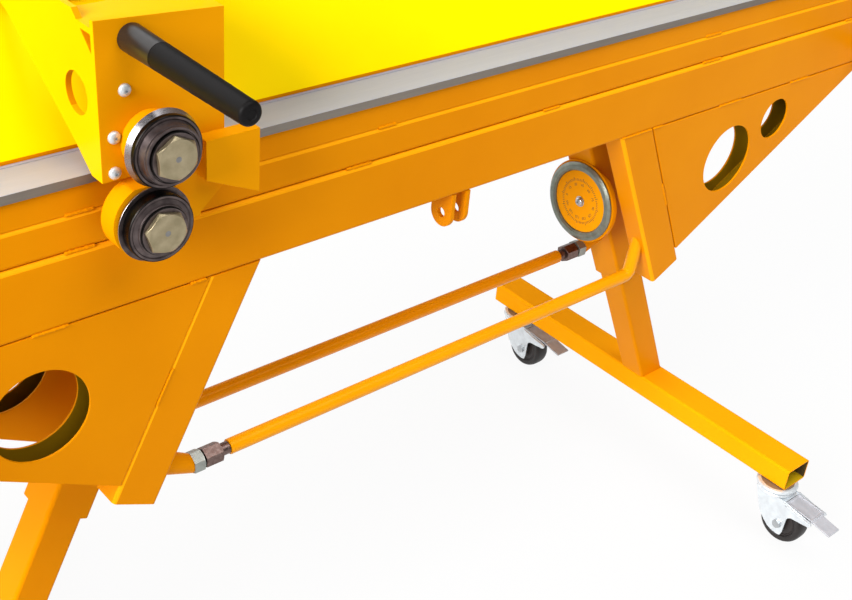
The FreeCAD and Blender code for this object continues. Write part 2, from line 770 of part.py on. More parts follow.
def bed_beam():
    body = new_body("bed_beam")
    front = bend_line + at.bed_gap
    back = frame_front + at.leg_wide
    nose = blade_under - at.bed_nose
    waist = middle_under - 8
    wall = at.bed_wall
    outer = loop((frame_front, chord), (back, chord), (back, blade_under), (front, blade_under),
                 (front, nose), (frame_front, waist))
    inner = loop(
        (frame_front + wall, chord + wall),
        (back - wall, chord + wall),
        (back - wall, blade_under - wall),
        (front + wall, blade_under - wall),
        (front + wall, nose + wall / 2),
        (frame_front + wall, waist + wall / 2),
    )
    pad(body, "YZ_Plane", [outer, inner], at.beam_half * 2, -at.beam_half)
    return piece("bed_beam", body)


bed_beam()
piece("bed_blade", block(
    "bed_blade",
    (at.beam_half * 2, at.bed_deep, at.blade_thick),
    (-at.beam_half, bend_line + at.bed_gap, blade_under),
))

leg_drop = chord - at.foot_lift - at.foot_high
socket_edge = socket_top + at.socket_wide / cosine(at.leg_splay)
socket_wall = (at.socket_wide - at.leg_wide) / 2 - at.socket_fit
socket_front = frame_front - (at.socket_wide - at.leg_wide) / 2
foot_inside = at.leg_top + leg_drop * tangent(at.leg_splay)
for name, side in SIDES:
    splayed_tube(name + "_leg", side, frame_front, at.leg_wide, at.leg_wide, at.leg_wall,
                 at.leg_top, at.leg_splay, leg_drop, False)
    splayed_tube(name + "_leg_socket", side, socket_front, at.socket_wide, at.socket_wide, socket_wall,
                 socket_top, at.leg_splay, at.socket_drop, True)
piece("frame_gussets", group("frame_gussets", [
    gusset(name + "_frame_gusset", side, frame_front, socket_edge, at.leg_splay) for name, side in SIDES]))


def foot(label, start, stem_place):
    body = new_body(label)
    low = at.foot_lift
    wall = at.foot_wall
    long = at.foot_back - at.foot_front
    outer = loop((start, low), (start + at.foot_wide, low),
                 (start + at.foot_wide, low + at.foot_high), (start, low + at.foot_high))
    pad(body, "XZ_Plane", [outer], long, depth(at.foot_front))
    soften(body, at.tube_corner, along(1))
    inner = loop((start + wall, low + wall), (start + at.foot_wide - wall, low + wall),
                 (start + at.foot_wide - wall, low + at.foot_high - wall), (start + wall, low + at.foot_high - wall))
    pocket(body, "XZ_Plane", [inner], long, depth(at.foot_front))
    holes = [ring(stem_place, depth(place_y), at.stem_wide + 2 * at.pin_fit)
             for place_y in (at.caster_front, at.caster_back)]
    pocket(body, "XY_Plane", holes, wall, low)
    return piece(label, body)


foot("left_foot", -foot_inside - at.foot_wide, -foot_inside - at.caster_inset)
foot("right_foot", foot_inside, foot_inside + at.caster_inset)


# End cheeks, pins, clamp arms and levers

arm_angle = math.degrees(math.atan2(float(rail_z - pivot_z), float(rail_y - pivot_y)))
half_open = math.radians(float(at.clamp_open) / 2)
crank_throw = float(at.slot_place) * math.sin(half_open) / math.sin(math.radians(float(at.lever_travel) / 2))
middle_angle = math.radians(arm_angle) - half_open
axle_y = float(pivot_y) + (float(at.slot_place) - crank_throw) * math.cos(middle_angle)
axle_z = float(pivot_z) + (float(at.slot_place) - crank_throw) * math.sin(middle_angle)
crank_angle = math.degrees(middle_angle) + float(at.lever_travel) / 2


def cheek(label, side):
    body = new_body(label)
    margin = at.ear_wide / 2 + 3
    outline = loop(
        (bend_line - margin, at.sheet_plane + 8),
        (bend_line - margin + 8, at.sheet_plane + margin - 6),
        (bend_line + margin, at.sheet_plane + margin - 6),
        (axle_y - 10, at.sheet_plane + 8),
        (axle_y + 22, at.sheet_plane + 2),
        (pivot_y + 36, pivot_z + 10),
        (pivot_y + 26, pivot_z - 24),
        (pivot_y - 14, pivot_z - 34),
        (frame_front, chord),
        (bend_line - margin, at.sheet_plane - 60),
    )
    start = cheek_layer if side > 0 else -cheek_layer - at.cheek_thick
    holes = [
        ring(bend_line, at.sheet_plane, at.hinge_pin),
        ring(pivot_y, pivot_z, at.pivot_pin),
        ring(axle_y, axle_z, at.axle_wide),
    ]
    pad(body, "YZ_Plane", [outline] + holes, at.cheek_thick, start)
    soften(body, 12, along(0))
    back = frame_front + at.leg_wide
    spacer = loop((frame_front, chord), (back, chord), (back, blade_under), (frame_front, blade_under))
    spacer_start = at.beam_half if side > 0 else -cheek_layer
    pad(body, "YZ_Plane", [spacer], cheek_layer - at.beam_half, spacer_start)
    return piece(label, body)


def side_bar(name, side, wide, start, end, back, up):
    """A round bar along X between two distances from mid machine."""
    turn = Rotation(Vector(0, 1, 0), 90 * side)
    return bar(name, wide, end - start, (side * start, back, up), turn)


pins = []
for name, side in SIDES:
    cheek(name + "_cheek", side)
    cheek_outside = cheek_layer + at.cheek_thick
    pins.append(side_bar("hinge_pin_" + name, side, at.hinge_pin, at.beam_half + 0.3, cheek_outside,
                         bend_line, at.sheet_plane))
    pins.append(joined("arm_pin_" + name, [
        side_bar("arm_shank_" + name, side, at.pivot_pin, cheek_layer, arm_outside + at.side_gap, pivot_y, pivot_z),
        side_bar("arm_shoulder_" + name, side, at.pivot_pin + 12, cheek_outside, arm_layer - 0.3, pivot_y, pivot_z),
        side_bar("arm_head_" + name, side, at.pivot_pin + 12, arm_outside + 0.3, arm_outside + 8, pivot_y, pivot_z),
    ]))
    pins.append(side_bar("lever_axle_" + name, side, at.axle_wide, cheek_layer, lever_layer + at.lever_thick,
                         axle_y, axle_z))
piece("frame_pins", group("frame_pins", pins))


def clamp_arm(name, side):
    """The arm lies along its own Z from its pivot and is turned into place."""
    body = new_body(name)
    long = math.hypot(float(rail_z - pivot_z), float(rail_y - pivot_y))
    half = at.pivot_boss / 2
    start = arm_layer if side > 0 else -arm_outside
    outline = loop((-half, 0), (half, 0), (at.rail_wide / 2 + 9, long), (-at.rail_wide / 2 - 9, long))
    pad(body, "YZ_Plane", [outline], at.arm_thick, start)
    pad(body, "YZ_Plane", [ring(0, 0, at.pivot_boss)], at.arm_thick, start)
    pad(body, "YZ_Plane", [ring(0, long, at.rail_wide + 18)], at.arm_thick, start)
    spacer = loop((-20, 232), (20, 232), (20, 272), (-20, 272))
    spacer_start = at.beam_half if side > 0 else -arm_layer
    pad(body, "YZ_Plane", [spacer], arm_layer - at.beam_half, spacer_start)
    holes = [
        ring(0, 0, at.pivot_pin + 2 * at.pin_fit),
        ring(0, long, at.rail_wide + 2 * at.pin_fit),
    ]
    pocket(body, "YZ_Plane", holes, at.arm_thick, start)
    room = at.crank_pin / 2 + at.slot_room
    low = at.slot_place - crank_throw * (1 - math.cos(math.radians(float(at.lever_travel) / 2))) - 1
    high = at.slot_place + 1
    pocket(body, "YZ_Plane", [loop((-room, low), (room, low), (room, high), (-room, high))], at.arm_thick, start)
    pocket(body, "YZ_Plane", [ring(0, low, room * 2)], at.arm_thick, start)
    pocket(body, "YZ_Plane", [ring(0, high, room * 2)], at.arm_thick, start)
    place(body, 0, pivot_y, pivot_z, Rotation(Vector(1, 0, 0), arm_angle - 90))
    return body


piece("clamp_arms", group("clamp_arms", [clamp_arm("arm_" + name, side) for name, side in SIDES]))


def lever(label, side):
    """Crank disc, bar and rod in one piece, drawn with the bar along its own Z."""
    body = new_body(label + "_bar")
    start = lever_layer if side > 0 else -lever_layer - at.lever_thick
    rod_from = at.lever_long - at.lever_grip_long
    half = at.lever_bar / 2
    pad(body, "YZ_Plane", [ring(0, 0, at.crank_wide)], at.lever_thick, start)
    outline = loop((-half, 0), (half, 0), (half - 4, rod_from), (4 - half, rod_from))
    pad(body, "YZ_Plane", [outline], at.lever_thick, start)
    pocket(body, "YZ_Plane", [ring(0, 0, at.axle_wide + 2 * at.pin_fit)], at.lever_thick, start)
    lean = math.radians(crank_angle - float(at.lever_rest) + 90)
    pin_start = lever_layer if side > 0 else -arm_outside
    pin = ring(crank_throw * math.cos(lean), crank_throw * math.sin(lean), at.crank_pin)
    pin_long = at.lever_thick + at.side_gap + at.arm_thick
    pad(body, "YZ_Plane", [pin], pin_long, pin_start)
    middle = start + at.lever_thick / 2
    rod = bar(label + "_rod", at.lever_rod, at.lever_grip_long + 5, (middle, 0, rod_from - 15))
    grip = bar(label + "_sleeve", at.lever_grip_wide, at.lever_grip_long, (middle, 0, rod_from))
    bore = bar(label + "_bore", at.lever_rod + 2 * at.pin_fit, at.lever_grip_long - 9, (middle, 0, rod_from - 0.5))
    turned = group(label, [joined(label + "_steel", [body, rod]), less(label + "_grip", grip, bore)])
    turned.Placement = Placement(Vector(0, axle_y, axle_z), Rotation(Vector(1, 0, 0), float(at.lever_rest) - 90))
    return piece(label, turned)


for name, side in SIDES:
    lever(name + "_clamp_lever", side)


# Clamp beam

nose_y = bend_line + at.nose_back
box_under = at.sheet_plane + at.nose_bar_thick


def clamp_box():
    """A closed box whose front sheet slopes at 45 degrees and runs on up to the rail."""
    body = new_body("clamp_box")
    wall = at.clamp_wall
    back = nose_y + at.clamp_deep
    top = box_under + at.clamp_high
    slant = wall * math.sqrt(2)
    outer = loop((nose_y, box_under), (back, box_under), (back, top), (nose_y + at.clamp_high, top))
    inner = loop(
        (nose_y + slant + wall, box_under + wall),
        (back - wall, box_under + wall),
        (back - wall, top - wall),
        (nose_y + slant + at.clamp_high - wall, top - wall),
    )
    long = at.beam_half * 2
    pad(body, "YZ_Plane", [outer, inner], long, -at.beam_half)
    run = rail_y - nose_y + rail_z - box_under
    end_y = nose_y + run / 2 - (at.rail_wide / 2) / math.sqrt(2)
    end_z = box_under + run / 2 - (at.rail_wide / 2) / math.sqrt(2)
    step = wall / math.sqrt(2)
    face = loop((nose_y + at.clamp_high - 1, top - 1), (end_y, end_z), (end_y + step, end_z - step),
                (nose_y + at.clamp_high + slant - 1, top - 1))
    pad(body, "YZ_Plane", [face], long, -at.beam_half)
    closing = loop((nose_y, box_under), (back, box_under), (back, top), (nose_y + at.clamp_high, top))
    pad(body, "YZ_Plane", [closing], wall, -at.beam_half)
    pad(body, "YZ_Plane", [closing], wall, at.beam_half - wall)
    return piece("clamp_box", body)


clamp_box()
piece("clamp_nose_bar", block(
    "clamp_nose_bar",
    (at.beam_half * 2, at.nose_bar_deep, at.nose_bar_thick),
    (-at.beam_half, nose_y, at.sheet_plane),
))
rail_long = arm_outside * 2
piece("cutter_rail", less(
    "cutter_rail",
    bar("rail_outside", at.rail_wide, rail_long, (-arm_outside, rail_y, rail_z), TO_X),
    bar("rail_inside", at.rail_wide - 2 * at.rail_wall, rail_long, (-arm_outside, rail_y, rail_z), TO_X),
))


# Roller cutter

def rail_shell(label, inner, thick, start, long):
    """Part of a tube round the rail, open towards the front below."""
    body = new_body(label)
    section = loop((start, inner), (start + long, inner), (start + long, inner + thick), (start, inner + thick))
    revolve(body, "XZ_Plane", [section], "H_Axis", at.hook_sweep)
    return place(body, 0, rail_y, rail_z, Rotation(Vector(1, 0, 0), float(at.hook_start) - 90))


liner_inner = at.rail_wide / 2 + at.ring_gap
sleeve_inner = liner_inner + at.liner_thick + at.ring_gap
hook_inner = sleeve_inner + at.sleeve_thick + at.ring_gap
hook_outer = hook_inner + at.hook_thick
cutter_long = at.cutter_right - at.cutter_left
piece("rail_liner", rail_shell("rail_liner", liner_inner, at.liner_thick, at.cutter_left, cutter_long))
piece("swing_sleeve", rail_shell("swing_sleeve", sleeve_inner, at.sleeve_thick, at.cutter_left, cutter_long))

plate_front = depth(at.cutter_face)
plate_back = plate_front + at.cutter_plate
cutter_low = at.sheet_plane + at.throat_rise
cutter_high = at.sheet_plane + at.cutter_rise
boss_top = at.sheet_plane - at.throat_drop
boss_front = plate_front - at.boss_proud
boss_back = boss_front + at.boss_thick
knife_step = at.knife_wide / 2 - at.knife_lap / 2
nip = at.sheet_plane - at.nip_drop
upper_axis = nip + knife_step * cosine(at.knife_lean)
lower_axis = nip - knife_step * cosine(at.knife_lean)
upper_place = at.knife_place + knife_step * sine(at.knife_lean)
lower_place = at.knife_place - knife_step * sine(at.knife_lean)
link_left = at.link_place
link_top = at.sheet_plane + at.link_rise


def cutter_frame():
    body = new_body("cutter_body")
    left = at.cutter_left
    right = at.cutter_right
    low = cutter_low
    high = cutter_high
    bore = at.arbor_wide + 2 * at.pin_fit
    plate = loop((left, low), (right, low), (right, high - 8), (left, high))
    pad(body, "XZ_Plane", [plate, ring(upper_place, upper_axis, bore)], at.cutter_plate, plate_front)
    link_deep = boss_back - plate_front
    link = loop((link_left, lower_axis - 20), (right, lower_axis + 8), (right, link_top), (link_left, link_top))
    pad(body, "XZ_Plane", [link], link_deep, plate_front)
    under = loop((lower_place, boss_top), (lower_place, lower_axis - 30), (link_left + 4, lower_axis - 20),
                 (link_left + 4, boss_top))
    pad(body, "XZ_Plane", [under], link_deep, plate_front)
    pad(body, "XZ_Plane", [ring(lower_place, lower_axis, at.boss_wide)], at.boss_thick, boss_front)
    half = at.boss_wide / 2
    flat = loop((lower_place - half, boss_top), (link_left, boss_top),
                (link_left, cutter_low), (lower_place - half, cutter_low))
    pocket(body, "XZ_Plane", [flat], at.boss_thick, boss_front)
    above_flat = loop((lower_place - half, boss_top), (link_left, boss_top),
                      (link_left, lower_axis + half + 1), (lower_place - half, lower_axis + half + 1))
    pocket(body, "XZ_Plane", [above_flat], boss_back - plate_back, plate_back)
    pocket(body, "XZ_Plane", [above_flat], at.boss_proud, boss_front)
    pocket(body, "XZ_Plane", [ring(lower_place, lower_axis, bore)], at.boss_thick, boss_front)
    top = loop((left, plate_back), (right, plate_back), (right, plate_back + 55), (left, plate_back + 55))
    pad(body, "XY_Plane", [top], at.cutter_plate, high - at.cutter_plate - 8)
    return body


def cutter_web(name, start):
    """Side web from the front plate back to the hook round the rail."""
    body = new_body(name)
    low = cutter_low
    high = cutter_high
    outline = loop(
        (plate_back, low),
        (plate_back + 14, low),
        (plate_back + 40, low + 21),
        (rail_y - 48, rail_z - 22),
        (rail_y - hook_inner * 0.9, rail_z - hook_inner * 0.42),
        (rail_y, rail_z),
        (rail_y + hook_inner * 0.5, rail_z + hook_inner * 0.87),
        (rail_y, high),
        (plate_back + 33, high),
        (plate_back, high - 32),
    )
    hole = ring(plate_back + at.web_hole_back, cutter_high - at.web_hole_drop, at.web_hole)
    pad(body, "YZ_Plane", [outline, hole], at.cutter_plate, start)
    pocket(body, "YZ_Plane", [ring(rail_y, rail_z, hook_inner * 2)], at.cutter_plate, start)
    return body


hook = rail_shell("cutter_hook", hook_inner, at.hook_thick, at.cutter_left, cutter_long)
piece("cutter_frame", joined("cutter_frame", [
    cutter_frame(),
    cutter_web("cutter_web_left", at.cutter_left),
    cutter_web("cutter_web_right", at.cutter_right - at.cutter_plate),
    hook,
]))


def guide_block():
    body = new_body("cutter_guide")
    left = link_left
    right = link_left + at.guide_long
    top = at.sheet_plane + at.guide_rise
    outline = loop((left, lower_axis + 26), (right, lower_axis - 2), (right, top), (left, top))
    pad(body, "XZ_Plane", [outline], at.guide_deep, plate_front - at.guide_deep)
    return piece("cutter_guide", body)


guide_block()

# along the beam, above the sheet plane
screw_places = [(-474, 91), (-487, 47), (-488, 11)]
screws = []
for number, (across, rise) in enumerate(screw_places, start=1):
    dome = doc.addObject("Part::Cone", "screw_dome_%d" % number)
    bind(dome, "Radius1", at.screw_wide / 2)
    bind(dome, "Radius2", at.screw_wide / 4)
    bind(dome, "Height", at.screw_wide / 3)
    place(dome, across, plate_front, at.sheet_plane + rise, TO_FRONT)
    screws.append(dome)
piece("cutter_screws", group("cutter_screws", screws))

grip = doc.addObject("Part::Cone", "grip_sleeve")
bind(grip, "Radius1", at.grip_wide / 2)
bind(grip, "Radius2", at.grip_tip / 2)
bind(grip, "Height", at.grip_long)
place(grip, at.grip_place, plate_front, cutter_high - at.grip_drop, TO_FRONT)
piece("cutter_grip", grip)


def knife(label, front, across, axis):
    """A knife disc, its front face at the given place."""
    body = new_body(label)
    radius = at.knife_wide / 2
    bore = at.arbor_wide / 2 + at.pin_fit
    section = loop((0, bore), (at.knife_thick, bore), (at.knife_thick, radius), (0, radius))
    revolve(body, "YZ_Plane", [section], "H_Axis")
    return piece(label, place(body, across, front, axis))


def hub(label, knife_front, across, axis, nose_wide, nose_long, seat, back):
    """Black disc, cone, arbor with the spacer behind the knife, and the hex bolt."""
    body = new_body(label + "_turned")
    radius = at.hub_wide / 2
    arbor = at.arbor_wide / 2
    disc = knife_front - hub_front
    long = disc + nose_long
    section = loop(
        (-long, 0), (-long, nose_wide / 2), (-disc, radius - at.hub_rim), (-disc, radius), (0, radius),
        (0, arbor), (at.knife_thick, arbor), (at.knife_thick, at.spacer_wide / 2),
        (seat, at.spacer_wide / 2), (seat, arbor), (back, arbor), (back, 0),
    )
    revolve(body, "YZ_Plane", [section], "H_Axis")
    place(body, across, knife_front, axis)
    nose = (across, knife_front - long, axis)
    bolt = hex_bar(label + "_bolt", at.knife_bolt, at.knife_bolt_high, nose, TO_FRONT)
    washer = bar(label + "_washer", at.knife_bolt + 5, at.knife_washer, nose, TO_FRONT)
    return piece(label, group(label, [body, joined(label + "_head", [bolt, washer])]))


shear_plane = plate_front - at.knife_stand
upper_front = shear_plane - at.knife_thick - at.knife_gap
hub_front = upper_front - at.hub_disc
knife("upper_knife", upper_front, upper_place, upper_axis)
knife("lower_knife", shear_plane, lower_place, lower_axis)
hub("upper_hub", upper_front, upper_place, upper_axis, at.upper_nose_wide, at.upper_nose_long,
    plate_front - at.ring_gap - upper_front, plate_back + at.arbor_out - upper_front)
hub("lower_hub", shear_plane, lower_place, lower_axis, at.lower_nose_wide, at.lower_nose_long,
    boss_front - at.ring_gap - shear_plane, boss_back - shear_plane)


# Angle dial

dial_y = depth(at.dial_depth)
dial_height = chord - at.rod_drop + at.coupling_across / 2 + at.dial_clear + at.dial_plate_wide / 2
face_drop = chord - dial_height
socket_wall_at = socket_top + face_drop * tangent(at.leg_splay)
dial_back = socket_wall_at - at.dial_stand
dial_front = dial_back - at.dial_gap - at.dial_thick
dial_face_at = dial_front + at.dial_recess


def dial_ring(label, outer, inner, thick, start):
    body = new_body(label)
    pad(body, "YZ_Plane", [ring(dial_y, dial_height, outer), ring(dial_y, dial_height, inner)], thick, start)
    return piece(label, body)


dial_ring("dial_rim", at.dial_wide, at.dial_face_wide + 0.4, at.dial_thick, dial_front)
face = new_body("dial_face_disc")
face_thick = at.dial_thick - at.dial_recess
pad(face, "YZ_Plane", [ring(dial_y, dial_height, at.dial_face_wide)], face_thick, dial_face_at)
screw_long = at.dial_screw / 4
screw = bar("dial_screw", at.dial_screw, screw_long, (dial_face_at - screw_long, dial_y, dial_height), TO_X)
piece("dial_face", group("dial_face", [face, screw]))

outwards = Vector(math.cos(math.radians(float(at.leg_splay))), 0, math.sin(math.radians(float(at.leg_splay))))
post_end = Vector(float(socket_wall_at), float(dial_y), float(dial_height)) - outwards * 0.05
backing = bar("dial_backing", at.dial_plate_wide, at.dial_plate_thick, (dial_back, dial_y, dial_height), TO_X)
post_long = at.dial_stand + at.dial_post * tangent(at.leg_splay)
post = bar("dial_post", at.dial_post, post_long, (dial_back, dial_y, dial_height), TO_X)
holder = joined("dial_holder", [backing, post])
piece("dial_bracket", less("dial_bracket", holder, half_space("dial_socket_face", post_end, outwards)))


# Casters

wheel_axis = at.wheel_wide / 2
cap_under = at.foot_lift - at.caster_cap_high
crown_top = cap_under - at.race_gap
crown_under = crown_top - at.fork_crown_high
fork_inside = at.wheel_thick / 2 + at.wheel_side_gap


def caster_stem(name, middle, swivel):
    """The fixed part of a caster: cap under the foot, stem through it and nut inside it."""
    stem_top = at.foot_lift + at.foot_wall + at.stem_out
    return joined(name, [
        bar(name + "_cap", at.caster_cap_wide, at.caster_cap_high, (middle, swivel, cap_under)),
        bar(name + "_shank", at.stem_wide, stem_top - cap_under, (middle, swivel, cap_under)),
        hex_bar(name + "_nut", at.stem_nut, at.stem_nut_high, (middle, swivel, at.foot_lift + at.foot_wall)),
    ])


def caster_fork(label, middle, swivel):
    axle = swivel - at.wheel_trail
    crown = bar(label + "_crown", at.fork_crown_wide, at.fork_crown_high, (middle, swivel, crown_under))
    cheeks = []
    for number, start in enumerate((middle - fork_inside - at.fork_sheet, middle + fork_inside)):
        body = new_body("%s_cheek_%d" % (label, number))
        outline = loop(
            (axle - 3, crown_under + 2),
            (swivel + 25, crown_under + 2),
            (axle + 45, wheel_axis + 17),
            (axle + 37, wheel_axis),
            (axle + 17, wheel_axis - 18),
            (axle - 2, wheel_axis - 22),
            (axle - 10, wheel_axis - 20),
            (axle - 12, wheel_axis - 12),
            (axle - 13, wheel_axis + 18),
            (axle - 20, wheel_axis + 25),
            (axle - 53, wheel_axis + 29),
            (axle - 57, wheel_axis + 35),
            (axle - 56, wheel_axis + 40),
        )
        holes = [ring(axle, wheel_axis, at.wheel_axle + 2 * at.pin_fit),
                 ring(axle - at.pedal_back, pedal_axis, at.pedal_pin + 2 * at.pin_fit)]
        pad(body, "YZ_Plane", [outline] + holes, at.fork_sheet, start)
        cheeks.append(body)
    half = fork_inside + at.fork_sheet
    beside = half + at.race_gap
    bolt_half = beside + at.axle_head_high
    places = (middle - bolt_half, axle, wheel_axis)
    axle_bolt = joined(label + "_bolt", [
        bar(label + "_shank", at.wheel_axle, 2 * bolt_half, places, TO_X),
        hex_bar(label + "_bolt_head", at.axle_head, at.axle_head_high, places, TO_X),
        hex_bar(label + "_bolt_nut", at.axle_head, at.axle_head_high, (middle + beside, axle, wheel_axis), TO_X),
    ])
    return piece(label, group(label, [joined(label + "_steel", [crown] + cheeks), axle_bolt]))


def caster_wheel(label, middle, swivel):
    body = new_body(label)
    half = at.wheel_thick / 2
    radius = at.wheel_wide / 2
    bore = at.wheel_axle / 2 + at.pin_fit
    deep = at.tyre_shoulder
    corner = deep * 0.27
    edge = deep * 0.45
    rim = deep * 0.18
    section = loop((-half, bore), (-half, radius - deep), (rim - half, radius - corner), (edge - half, radius),
                   (half - edge, radius), (half - rim, radius - corner), (half, radius - deep), (half, bore))
    revolve(body, "XZ_Plane", [section], "H_Axis")
    return piece(label, place(body, middle, swivel - at.wheel_trail, wheel_axis))


def caster_pedal(label, middle, swivel):
    body = new_body(label)
    hinge = swivel - at.wheel_trail - at.pedal_back
    narrow = fork_inside - at.pedal_gap
    sheet_thick = at.pedal_sheet
    plate_end = hinge - at.pedal_plate
    plate_low = pedal_axis - sheet_thick - 4
    plate = loop((hinge + 3, pedal_axis), (hinge + 3, pedal_axis + sheet_thick),
                 (plate_end, plate_low + sheet_thick), (plate_end, plate_low))
    tip = hinge - at.pedal_reach
    tongue = loop((plate_end + 5, plate_low + sheet_thick - 1), (plate_end + 5, plate_low - 1),
                  (tip, plate_low - 6), (tip, plate_low + sheet_thick - 6))
    pad(body, "YZ_Plane", [plate], narrow * 2, middle - narrow)
    inside = narrow - at.tongue_narrow
    pad(body, "YZ_Plane", [tongue], inside * 2, middle - inside)
    half = fork_inside + at.fork_sheet
    pad(body, "YZ_Plane", [ring(hinge, pedal_axis, at.pedal_pin)], half * 2, middle - half)
    return piece(label, body)


pedal_axis = crown_under - at.pedal_drop
stems = []
for end, swivel_place in (("front", at.caster_front), ("rear", at.caster_back)):
    for name, side in SIDES:
        corner = end + "_" + name
        middle = side * (foot_inside + at.caster_inset)
        swivel = depth(swivel_place)
        stems.append(caster_stem(corner + "_stem", middle, swivel))
        caster_fork(corner + "_fork", middle, swivel)
        caster_wheel(corner + "_wheel", middle, swivel)
        caster_pedal(corner + "_pedal", middle, swivel)
piece("caster_stems", group("caster_stems", stems))


# Check and write every piece

doc.recompute()
for thing in doc.Objects:
    if "Invalid" in thing.State or "Error" in thing.State:
        raise RuntimeError("%s failed: %s" % (thing.Label, thing.State))

os.makedirs("parts", exist_ok=True)
whole = FreeCAD.BoundBox()
for thing in PIECES:
    shape = thing.Shape
    if shape.isNull() or not shape.isValid() or not shape.Solids:
        raise RuntimeError("%s has no valid shape" % thing.Label)
    whole.add(shape.BoundBox)
    shape.exportStep(os.path.join("parts", thing.Label + ".step"))
print("%d pieces, X %.1f..%.1f, Y %.1f..%.1f, Z %.1f..%.1f" % (
    len(PIECES), whole.XMin, whole.XMax, whole.YMin, whole.YMax, whole.ZMin, whole.ZMax))
print("lever axle at Y %.3f, Z %.3f, crank throw %.3f" % (axle_y, axle_z, crank_throw))
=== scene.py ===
# %% [markdown]
# # A manual sheet metal brake
# The machine is a welded frame of square and rectangular steel tubes on four casters.
# A bending beam swings up in front of a fixed bed, a clamp beam presses the sheet down,
# and a roller cutter hangs on a round rail on top of the clamp beam.
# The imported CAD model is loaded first. It is a fixed frame: every piece made here is placed
# in its coordinates, in metres, and rides on one of its moving bodies.

# %% Load the frame
import json
import math

import bpy
from mathutils import Matrix, Vector

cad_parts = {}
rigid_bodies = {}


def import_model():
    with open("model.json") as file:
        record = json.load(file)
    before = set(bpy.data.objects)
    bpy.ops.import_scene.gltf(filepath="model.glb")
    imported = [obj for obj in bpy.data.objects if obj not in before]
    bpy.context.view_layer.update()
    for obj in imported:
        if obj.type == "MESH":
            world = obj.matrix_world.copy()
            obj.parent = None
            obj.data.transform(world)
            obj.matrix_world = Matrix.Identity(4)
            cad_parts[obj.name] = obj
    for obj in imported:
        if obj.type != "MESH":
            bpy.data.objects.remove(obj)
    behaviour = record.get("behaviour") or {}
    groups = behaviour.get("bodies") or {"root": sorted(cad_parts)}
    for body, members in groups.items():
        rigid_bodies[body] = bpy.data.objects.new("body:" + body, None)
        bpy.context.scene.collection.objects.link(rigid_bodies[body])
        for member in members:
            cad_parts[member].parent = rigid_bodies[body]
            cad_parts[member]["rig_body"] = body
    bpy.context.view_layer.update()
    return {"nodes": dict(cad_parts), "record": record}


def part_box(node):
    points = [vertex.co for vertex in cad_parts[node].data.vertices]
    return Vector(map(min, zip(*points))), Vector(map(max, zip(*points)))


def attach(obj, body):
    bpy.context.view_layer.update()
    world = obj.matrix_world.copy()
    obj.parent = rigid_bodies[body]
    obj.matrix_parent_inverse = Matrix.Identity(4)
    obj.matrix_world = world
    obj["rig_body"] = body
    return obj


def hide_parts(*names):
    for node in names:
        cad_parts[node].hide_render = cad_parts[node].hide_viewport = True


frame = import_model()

nodes = frame["nodes"]
MM = 0.001

# %% [markdown]
# ## Camera
# The photograph is a close view from the front left, about eye height, that cuts off both ends.
# The camera is placed by its position, its turn about the upright axis, its tilt downwards and
# its roll, which are the three angles a photographer sets on a tripod head. The focal length is
# in pixels of the photograph, so the sensor width and the picture width give the lens.

# %% Camera
PICTURE_WIDE = 852
SENSOR_WIDE_MM = 36
FOCAL_PIXELS = 1246.6
CAMERA_TURN = math.radians(43.75)
CAMERA_TILT = math.radians(32.376)
CAMERA_ROLL = math.radians(-5.621)
CAMERA_PLACE = Vector((-0.98142, -1.05446, 1.45614))

forward = Vector((
    math.sin(CAMERA_TURN) * math.cos(CAMERA_TILT),
    math.cos(CAMERA_TURN) * math.cos(CAMERA_TILT),
    -math.sin(CAMERA_TILT),
))
level = Vector((math.cos(CAMERA_TURN), -math.sin(CAMERA_TURN), 0))
down = forward.cross(level)
right = level * math.cos(CAMERA_ROLL) + down * math.sin(CAMERA_ROLL)
up = level * math.sin(CAMERA_ROLL) - down * math.cos(CAMERA_ROLL)

camera_data = bpy.data.cameras.new("camera")
camera_data.sensor_width = SENSOR_WIDE_MM
camera_data.lens = FOCAL_PIXELS / PICTURE_WIDE * SENSOR_WIDE_MM
camera_data.clip_start = 10 * MM
camera = bpy.data.objects.new("camera", camera_data)
bpy.context.scene.collection.objects.link(camera)
turn = Matrix((right, up, -forward)).transposed().to_4x4()
camera.matrix_world = Matrix.Translation(CAMERA_PLACE) @ turn
bpy.context.scene.camera = camera
print("lens", round(camera_data.lens, 2), "mm")

# %% [markdown]
# ## Material helpers
# Colours are written as the hex codes that a screen shows, and one function turns them to the
# linear numbers that Blender's shaders add and multiply. A second function adds a shader node
# with its settings and its links in one line, so a material reads from top to bottom. Every
# finish of the machine then comes from one recipe: a broad cloud between two near tones, and a
# fine grain that changes the gloss and gives a relief. Both are sized in real millimetres.

# %% Colour and node helpers
def colour(code):
    """The linear colour of an sRGB hex code."""
    linear = []
    for start in (1, 3, 5):
        part = int(code[start:start + 2], 16) / 255
        linear.append(part / 12.92 if part <= 0.04045 else ((part + 0.055) / 1.055) ** 2.4)
    return (*linear, 1)


def add(tree, kind, links=None, **settings):
    """Adds a node. A setting names a socket or a property, a link names a socket and its source."""
    made = tree.nodes.new(kind)
    for name, value in settings.items():
        wanted = name.replace("_", " ").lower()
        sockets = [s for s in made.inputs if s.name.lower() == wanted and s.enabled]
        if sockets:
            sockets[0].default_value = value
        else:
            setattr(made, name, value)
    for target, source in (links or {}).items():
        tree.links.new(source, made.inputs[target])
    return made


def new_material(name):
    """A material with a Principled shader, and its tree and shader."""
    material = bpy.data.materials.new(name)
    material.use_nodes = True
    tree = material.node_tree
    return material, tree, tree.nodes["Principled BSDF"]


# %% The recipe for a surface
NOISE_SPREAD = {"From_Min": 0.3, "From_Max": 0.7}  # a noise texture rarely leaves this range
MIX_A, MIX_B, MIX_RESULT = 6, 7, 2  # the colour sockets of a Mix node


